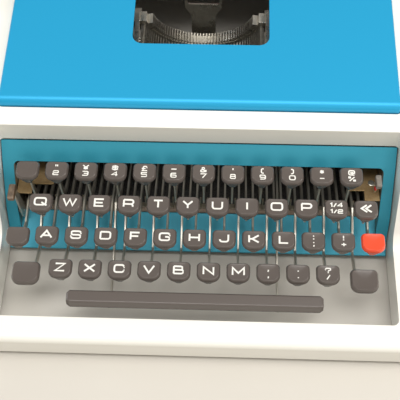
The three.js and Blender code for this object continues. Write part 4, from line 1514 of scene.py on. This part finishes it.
    @classmethod
    def strokes(cls, text: str, height: float) -> list[tuple[list[Pair], bool]]:
        """Lays out one line of letters about its middle.

        Args:
            text: the letters.
            height: their height.

        Returns:
            The centre line of each stroke, and whether it is closed.
        """
        share = height / cls.DRAWN_HEIGHT
        gap = cls.GAP * share
        widths = [cls.SHAPES[letter][0] * share for letter in text]
        left = -(sum(widths) + gap * (len(text) - 1)) / 2
        lines: list[tuple[list[Pair], bool]] = []
        for letter, width in zip(text, widths):
            for stroke in cls.SHAPES[letter][1].split(" / "):
                marks = stroke.split()
                kind = marks.pop(0) if "," not in marks[0] else ""
                radius = cls.ARC * share if "r" in kind else 0.0
                corners = []
                for mark in marks:
                    a, b = (float(number) for number in mark.split(","))
                    corners.append((left + a / cls.GRID * width, (b / cls.GRID - 0.5) * height,
                                    radius))
                closed = "z" in kind
                lines.append((rounded(corners, 3, closed), closed))
            left += width + gap
        return lines

    @classmethod
    def add(cls, form: Form, line: Sequence[Pair], closed: bool, half: float,
            surface: Surface) -> None:
        """Adds one stroke, as a thin inlay that stands a hair above a surface.

        Args:
            form: the form to add to.
            line: the stroke's centre line.
            closed: whether it joins up with itself.
            half: half the stroke's width.
            surface: gives a place on the surface for a point (a, b).
        """
        count = len(line)
        rings = []
        for index, point in enumerate(line):
            here = Vector(point)
            ahead = (here if index == count - 1 and not closed
                     else Vector(line[(index + 1) % count]))
            behind = here if index == 0 and not closed else Vector(line[index - 1])
            first = (here - behind).normalized() if here != behind else Vector((0, 0))
            second = (ahead - here).normalized() if ahead != here else Vector((0, 0))
            along = (first + second).normalized()
            lean = max(along.dot(second if second.length else first), 0.55)
            across = Vector((-along.y, along.x)) * (half / lean)
            ring = []
            for way, lift in ((1, cls.PROUD), (-1, cls.PROUD), (-1, cls.SUNK), (1, cls.SUNK)):
                spot = here + across * way
                x, y, z = surface(spot.x, spot.y)
                ring.append((x, y, z + lift))
            rings.append(ring)
        form.rings(rings, closed=closed)


# ---- keyboard


@dataclass(frozen=True)
class Keytop:
    """Sizes of a keytop: flat at the back, well rounded in front, dished on top."""

    SOCKET: ClassVar[tuple[Pair, ...]] = ((1.5, -0.9), (2.2, -0.6), (2.6, 0.7))
    FACE: ClassVar[tuple[float, ...]] = (0.93, 0.78, 0.55, 0.3, 0.1)

    width: float = 15.2
    depth: float = 13.2
    height: float = 8.5
    back_radius: float = 2.6
    front_radius: float = 5.2
    dish: float = 0.5
    rim: float = 0.84
    bowl: tuple[Pair, ...] = (
        (-7.1, 0.50), (-6.3, 0.68), (-5.3, 0.83), (-4.2, 0.94), (-3.2, 0.99), (-2.4, 1.0),
        (-1.5, 0.975), (-0.7, 0.93), (-0.25, 0.89), (-0.06, 0.865), (0.0, 0.84))
    beard: tuple[Triple, ...] = (
        (-4.0, 5.2, 0.7), (-6.0, 4.4, 0.9), (-7.6, 3.1, 1.2), (-8.8, 2.3, 1.5), (-10.3, 1.9, 2.0),
        (-10.6, 1.5, 2.3))

    def outline(self) -> list[Pair]:
        """Draws its widest outline.

        Returns:
            The points, about its middle.
        """
        half, deep = self.width / 2, self.depth / 2
        front, back = self.front_radius, self.back_radius
        return rounded([(-half, -deep, front), (half, -deep, front), (half, deep, back),
                        (-half, deep, back)], 7)

    def add(self, form: Form, x: float, y: float, top: float) -> None:
        """Adds the keytop: socket, bowl-shaped skirt, rim and dished face.

        Args:
            form: the form to add to.
            x: its middle.
            y: its middle.
            top: height of its rim.
        """
        edge = self.outline()

        def ring(size: float, drop: float) -> list[Triple]:
            """Ring of the outline, scaled."""
            return [(x + a * size, y + b * size, top + drop) for a, b in edge]

        def socket(radius: float, drop: float) -> list[Triple]:
            """Round ring with as many points as the outline."""
            return [(x + a / math.hypot(a, b) * radius, y + b / math.hypot(a, b) * radius,
                     top + drop) for a, b in edge]

        skirt = [socket(radius, lift - self.height) for radius, lift in self.SOCKET]
        skirt += [ring(size, drop) for drop, size in self.bowl]
        skirt += [ring(self.rim * share, -self.dish * (1 - share * share) - 0.03)
                  for share in self.FACE]
        form.rings(skirt)
        if self.beard:
            front, back = -self.depth / 2, self.depth * 0.12
            rings = []
            for drop, half, ahead in self.beard:
                outline = rectangle((-half, half), (front + ahead, back), half * 0.5, 3)
                rings.append([(x + a, y + b, top + drop) for a, b in outline])
            form.rings(rings)

    def face(self, x: float, y: float, top: float) -> Surface:
        """Gives the function that puts a point on the dished face.

        Args:
            x: the keytop's middle.
            y: the keytop's middle.
            top: height of its rim.

        Returns:
            A function from a point about the middle to a place on the face.
        """
        wide, deep = self.width / 2 * self.rim, self.depth / 2 * self.rim

        def place(a: float, b: float) -> Triple:
            """Puts a point on the face."""
            share = min((a / wide) ** 2 + (b / deep) ** 2, 1.0)
            return (x + a, y + b, top - self.dish * (1 - share))

        return place


@dataclass(frozen=True)
class KeyRow:
    """One row of keys, counted from the back."""

    number: int
    first: float
    line: tuple[Pair, ...]
    keys: tuple[tuple[str, str], ...]


@dataclass
class Keyboard:
    """Four rows of keys, each a keytop on a steel lever."""

    front_y: float = -128.5
    front_top: float = 42.0
    rise: float = 8.8
    keytop: Keytop = field(default_factory=Keytop)
    broad: Keytop = field(default_factory=lambda: Keytop(
        18.0, 15.6, 7.0, 3.2, 5.6, 0.6, 0.87,
        ((-6.2, 0.78), (-5.2, 0.93), (-4.2, 0.985), (-2.8, 1.0), (-1.8, 0.99), (-1.0, 0.955),
         (-0.4, 0.91), (-0.1, 0.885), (0.0, 0.87)), ()))
    shift_x: float = 108.2
    lever_half: float = 2.5
    thickness: float = 1.4
    hump: Pair = (-76.0, 33.0)
    rear: tuple[Pair, ...] = (
        (-60.0, 29.0), (-32.0, 20.6), (-4.0, 12.5), (30.0, 11.7), (80.5, 11.0))
    hook: tuple[Pair, ...] = (
        (79.0, 8.5), (81.6, 8.5), (81.6, 11.6), (82.5, 13.4), (85.5, 13.4), (86.4, 11.6),
        (86.4, 8.5), (88.5, 8.5), (88.5, 15.2), (79.0, 15.2))

    PITCH = 19.05
    MIDDLE = -0.5
    BAR_SLOTS = (1.625, 7.375)
    ROWS = (
        KeyRow(1, -1.25, ((-73, 35),), (
            ("margin", ""), ("2", '"|2'), ("3", "¥|3"), ("4", "$|4"), ("5", "£|5"), ("6", "_|6"),
            ("7", "&|7"), ("8", "'|8"), ("9", "(|9"), ("0", ")|0"), ("hyphen", "*|-"),
            ("at", "@|%"))),
        KeyRow(2, -0.75, ((-91.5, 46), (-76, 33)), (
            *((letter.lower(), letter) for letter in "QWERTYUIOP"), ("half", "1/4|1/2"),
            ("backspace", "«"))),
        KeyRow(3, -0.5, ((-110.5, 38), (-92, 31), (-76, 33)), (
            *((letter.lower(), letter) for letter in "ASDFGHJKL"), ("semicolon", ":|;"),
            ("plus", "!|+"), ("tab", ""))),
        KeyRow(4, 0.0, ((-129.5, 31), (-104, 22), (-76, 33)), (
            *((letter.lower(), letter) for letter in "ZXCVBNM"), ("comma", ",|,"),
            ("stop", ".|."), ("slash", "?|/"))),
    )

    @classmethod
    def slot_x(cls, slot: float) -> float:
        """Place across the keyboard of a slot, where slot 0 is the first front key."""
        return cls.MIDDLE + cls.PITCH * (slot - 4.5)

    def row_y(self, number: int) -> float:
        """Place of a row along Y."""
        return self.front_y + self.PITCH * (4 - number)

    def row_top(self, number: int) -> float:
        """Height of a row's rims."""
        return self.front_top + self.rise * (4 - number)

    def lever(self, form: Form, x: float, stem_y: float, stem_top: float,
              front: Sequence[Pair]) -> None:
        """Adds a key lever with its stem and the hook at its rear end.

        Args:
            form: the form to add to.
            x: its middle.
            stem_y: place of the stem.
            stem_top: top of the stem.
            front: the front part of its centre line.
        """
        low, high = x - self.thickness / 2, x + self.thickness / 2
        line = [*front, *self.rear]
        form.prism(strip(line, self.lever_half), Plane.YZ, low, high, 0.25, 1)
        foot = front[0][1] - 1
        form.prism([(stem_y - 2, foot), (stem_y + 2, foot), (stem_y + 1.6, stem_top),
                    (stem_y - 1.6, stem_top)], Plane.YZ, low, high, 0.25, 1)
        form.prism(self.hook, Plane.YZ, low, high)

    def keys(self) -> None:
        """Builds every letter, figure and function key."""
        for row in self.ROWS:
            y, top = self.row_y(row.number), self.row_top(row.number)
            for index, (name, legend) in enumerate(row.keys):
                x = self.slot_x(row.first + index)
                finish = KEY_RED if name == "tab" else KEY_GREY
                cap = Form()
                self.keytop.add(cap, x, y, top)
                cap.finish_index = 1
                self._legend(cap, legend, self.keytop.face(x, y, top))
                finishes = (finish, LEGEND_WHITE) if legend else (finish,)
                cap.piece(f"keytop_{name}", f"key_{name}", *finishes, slot=finish.name,
                          replaces=[f"key_{name}"], crease=60)
                lever = Form()
                self.lever(lever, x, y, top - self.keytop.height + 1, row.line)
                lever.piece(f"key_lever_{name}", f"key_{name}", LEVER_STEEL)

    @staticmethod
    def _legend(form: Form, legend: str, surface: Surface) -> None:
        """Adds a keytop's legend, on one line or two.

        Args:
            form: the keytop's form.
            legend: the letters, with a bar between two lines.
            surface: gives a place on the keytop's face for a point about its middle.
        """
        lines = legend.split("|") if legend else []
        if len(lines) == 1:
            height, half, shifts = 5.0, 0.57, (0.3,)
        else:
            height, half, shifts = 2.6 if "1/4" in legend else 3.1, 0.38, (2.35, -2.25)
        for text, shift in zip(lines, shifts):
            for line, closed in Legend.strokes(text, height):
                Legend.add(form, [(a, b + shift) for a, b in line], closed, half, surface)

    def shift_keys(self) -> None:
        """Builds both shift keys and the shift lock, and the rod that ties them together."""
        y, top = self.front_y - 3.5, self.front_top
        left, right, lock = (self.slot_x(slot) for slot in (-1, 10, -1.5))
        lock_y, front = self.row_y(3) - 0.5, self.ROWS[3].line
        places = (("shift_left", self.broad, -self.shift_x, left, y, y + 2, top, front),
                  ("shift_right", self.broad, self.shift_x, right, y, y + 2, top, front),
                  ("shift_lock", self.keytop, lock, lock, lock_y, lock_y, self.row_top(3) - 1,
                   self.ROWS[2].line))
        for name, shape, cap_x, lever_x, cap_y, stem_y, rim, line in places:
            cap = Form()
            shape.add(cap, cap_x, cap_y, rim)
            cap.piece(f"keytop_{name}", "shift_bail", KEY_GREY, slot="key_grey",
                      replaces=["shift_bail"], crease=60)
            lever, half = Form(), self.thickness / 2
            self.lever(lever, lever_x, stem_y, rim - shape.height + 1, line)
            lever.box((lever_x - half, lever_x + half), (86.6, 94), (4, 13), 0.2)
            lever.piece(f"lever_{name}", "shift_bail", LEVER_STEEL)
        rod = Form().lathe([(1.7, lock - 0.7), (1.7, right + 0.7)], Plane.YZ, (92, 5), 16, 0.2)
        rod.piece("shift_cross_rod", "shift_bail", TYPE_STEEL)

    def space_bar(self) -> None:
        """Builds the space bar, facetted in front, and its two levers."""
        outline = [(-149.8, 28.0), (-150.6, 30.6), (-149.3, 34.9), (-148.5, 35.5),
                   (-142.0, 36.0), (-141.0, 35.2), (-140.6, 28.4)]
        mid_y, mid_z = -145.6, 32.4
        sections = ((-81.5, 0.7), (-79.4, 1.0), (80.4, 1.0), (82.5, 0.7))
        bar = Form().rings([[(x, mid_y + (a - mid_y) * size, mid_z + (b - mid_z) * size)
                             for a, b in outline] for x, size in sections], 0.35, 3)
        bar.piece("space_bar_top", "space_bar", KEY_GREY, slot="key_grey", replaces=["space_bar"])
        line = ((-146.5, 24.0), (-137.0, 17.5), (-118.0, 17.5), (-104.0, 20.5), self.hump)
        for slot, (_, name) in zip(self.BAR_SLOTS, SIDES):
            lever = Form()
            self.lever(lever, self.slot_x(slot), -145.5, 30, line)
            lever.piece(f"space_bar_lever_{name}", "space_bar", LEVER_STEEL)


# ---- studio


@dataclass
class Studio:
    """Pale floor, soft lights and the camera."""

    camera_place: Triple = (17.459, -355.181, 536.134)
    yaw: float = math.radians(-3.188)
    pitch: float = math.radians(60.566)
    roll: float = math.radians(-1.505)
    lens: float = 76.5
    sensor: float = 36.0
    floor_size: float = 6.0
    lamps: tuple[tuple[str, Triple, Triple, Pair, float, Colour], ...] = (
        ("overhead", (0.1, -0.3, 1.65), (0, 0, 0.05), (1.6, 0.6), 20, (1.0, 0.985, 0.96)),
        ("right", (1.3, -0.15, 0.9), (0, -0.05, 0.04), (0.4, 0.7), 9, (1.0, 0.96, 0.90)),
        ("left", (-1.3, 0.2, 0.8), (0, 0, 0.04), (0.6, 0.8), 6, (0.95, 0.97, 1.0)),
        ("front", (0.3, -1.5, 0.8), (0, 0, 0.06), (1.4, 0.9), 3.5, (1.0, 0.93, 0.82)))
    sky: Colour = (1.0, 0.94, 0.84)
    sky_strength: float = 0.40

    def camera(self) -> None:
        """Sets up the camera, looking down at the keyboard."""
        cos, sin = math.cos, math.sin
        ahead = Vector((sin(self.yaw) * cos(self.pitch), cos(self.yaw) * cos(self.pitch),
                        -sin(self.pitch)))
        level = Vector((cos(self.yaw), -sin(self.yaw), 0.0))
        up = level.cross(ahead)
        right = cos(self.roll) * level + sin(self.roll) * up
        above = -sin(self.roll) * level + cos(self.roll) * up
        data = bpy.data.cameras.new("camera")
        data.lens = self.lens
        data.sensor_width = self.sensor
        data.clip_start, data.clip_end = 0.02, 20.0
        made = bpy.data.objects.new("camera", data)
        turn = Matrix((right, above, -ahead)).transposed().to_4x4()
        made.matrix_world = Matrix.Translation(Vector(self.camera_place) * MM) @ turn
        bpy.context.scene.collection.objects.link(made)
        bpy.context.scene.camera = made

    def floor(self) -> None:
        """Lays the floor."""
        half = self.floor_size / 2
        data = bpy.data.meshes.new("floor")
        data.from_pydata([(-half, -half, 0), (half, -half, 0), (half, half, 0), (-half, half, 0)],
                         [], [(0, 1, 2, 3)])
        data.materials.append(FLOOR_PALE.material())
        floor = bpy.data.objects.new("floor", data)
        bpy.context.scene.collection.objects.link(floor)

    @staticmethod
    def _lamp(name: str, place: Triple, target: Triple, size: Pair, power: float,
              colour: Colour) -> None:
        """Hangs one soft box.

        Args:
            name: its name.
            place: where it hangs, in metres.
            target: what it points at, in metres.
            size: its width and height in metres.
            power: its power in watts.
            colour: its colour.
        """
        data = bpy.data.lights.new(name, "AREA")
        data.shape = "RECTANGLE"
        data.size, data.size_y = size
        data.energy = power
        data.color = colour
        made = bpy.data.objects.new(name, data)
        made.location = place
        aim = Vector(target) - Vector(place)
        made.rotation_mode = "QUATERNION"
        made.rotation_quaternion = aim.to_track_quat("-Z", "Y")
        bpy.context.scene.collection.objects.link(made)

    def lights(self) -> None:
        """Hangs the soft boxes and sets the pale surroundings."""
        for lamp in self.lamps:
            self._lamp(*lamp)
        world = bpy.data.worlds.new("surroundings")
        world.use_nodes = True
        backdrop = world.node_tree.nodes["Background"]
        backdrop.inputs["Color"].default_value = (*self.sky, 1.0)
        backdrop.inputs["Strength"].default_value = self.sky_strength
        bpy.context.scene.world = world
        bpy.context.scene.view_settings.view_transform = "Standard"


# ---- main


def main() -> None:
    """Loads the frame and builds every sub-assembly in order."""
    logging.basicConfig(level=logging.INFO, format="%(message)s")
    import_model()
    studio, body, surround, chassis = Studio(), MouldedBody(), KeyboardSurround(), Chassis()
    drive, basket, carriage, keyboard = RibbonDrive(), TypeBasket(), Carriage(), Keyboard()
    for step in (
        studio.camera, studio.floor, studio.lights, body.shell, body.feet,
        surround.panel, surround.apron, chassis.side_plates, chassis.comb,
        chassis.rod_and_beam, chassis.carriage_rails, chassis.spool_platforms,
        chassis.window_plates, SideLevers().build, drive.spools, drive.ribbon, drive.guides,
        basket.segment, basket.type_bars, carriage.bed, carriage.ends, carriage.paper_table,
        Platen().build, PaperBail().build, ReturnLever().build, RibbonCover().build,
        keyboard.keys, keyboard.shift_keys, keyboard.space_bar,
    ):
        step()


if __name__ == "__main__":
    main()
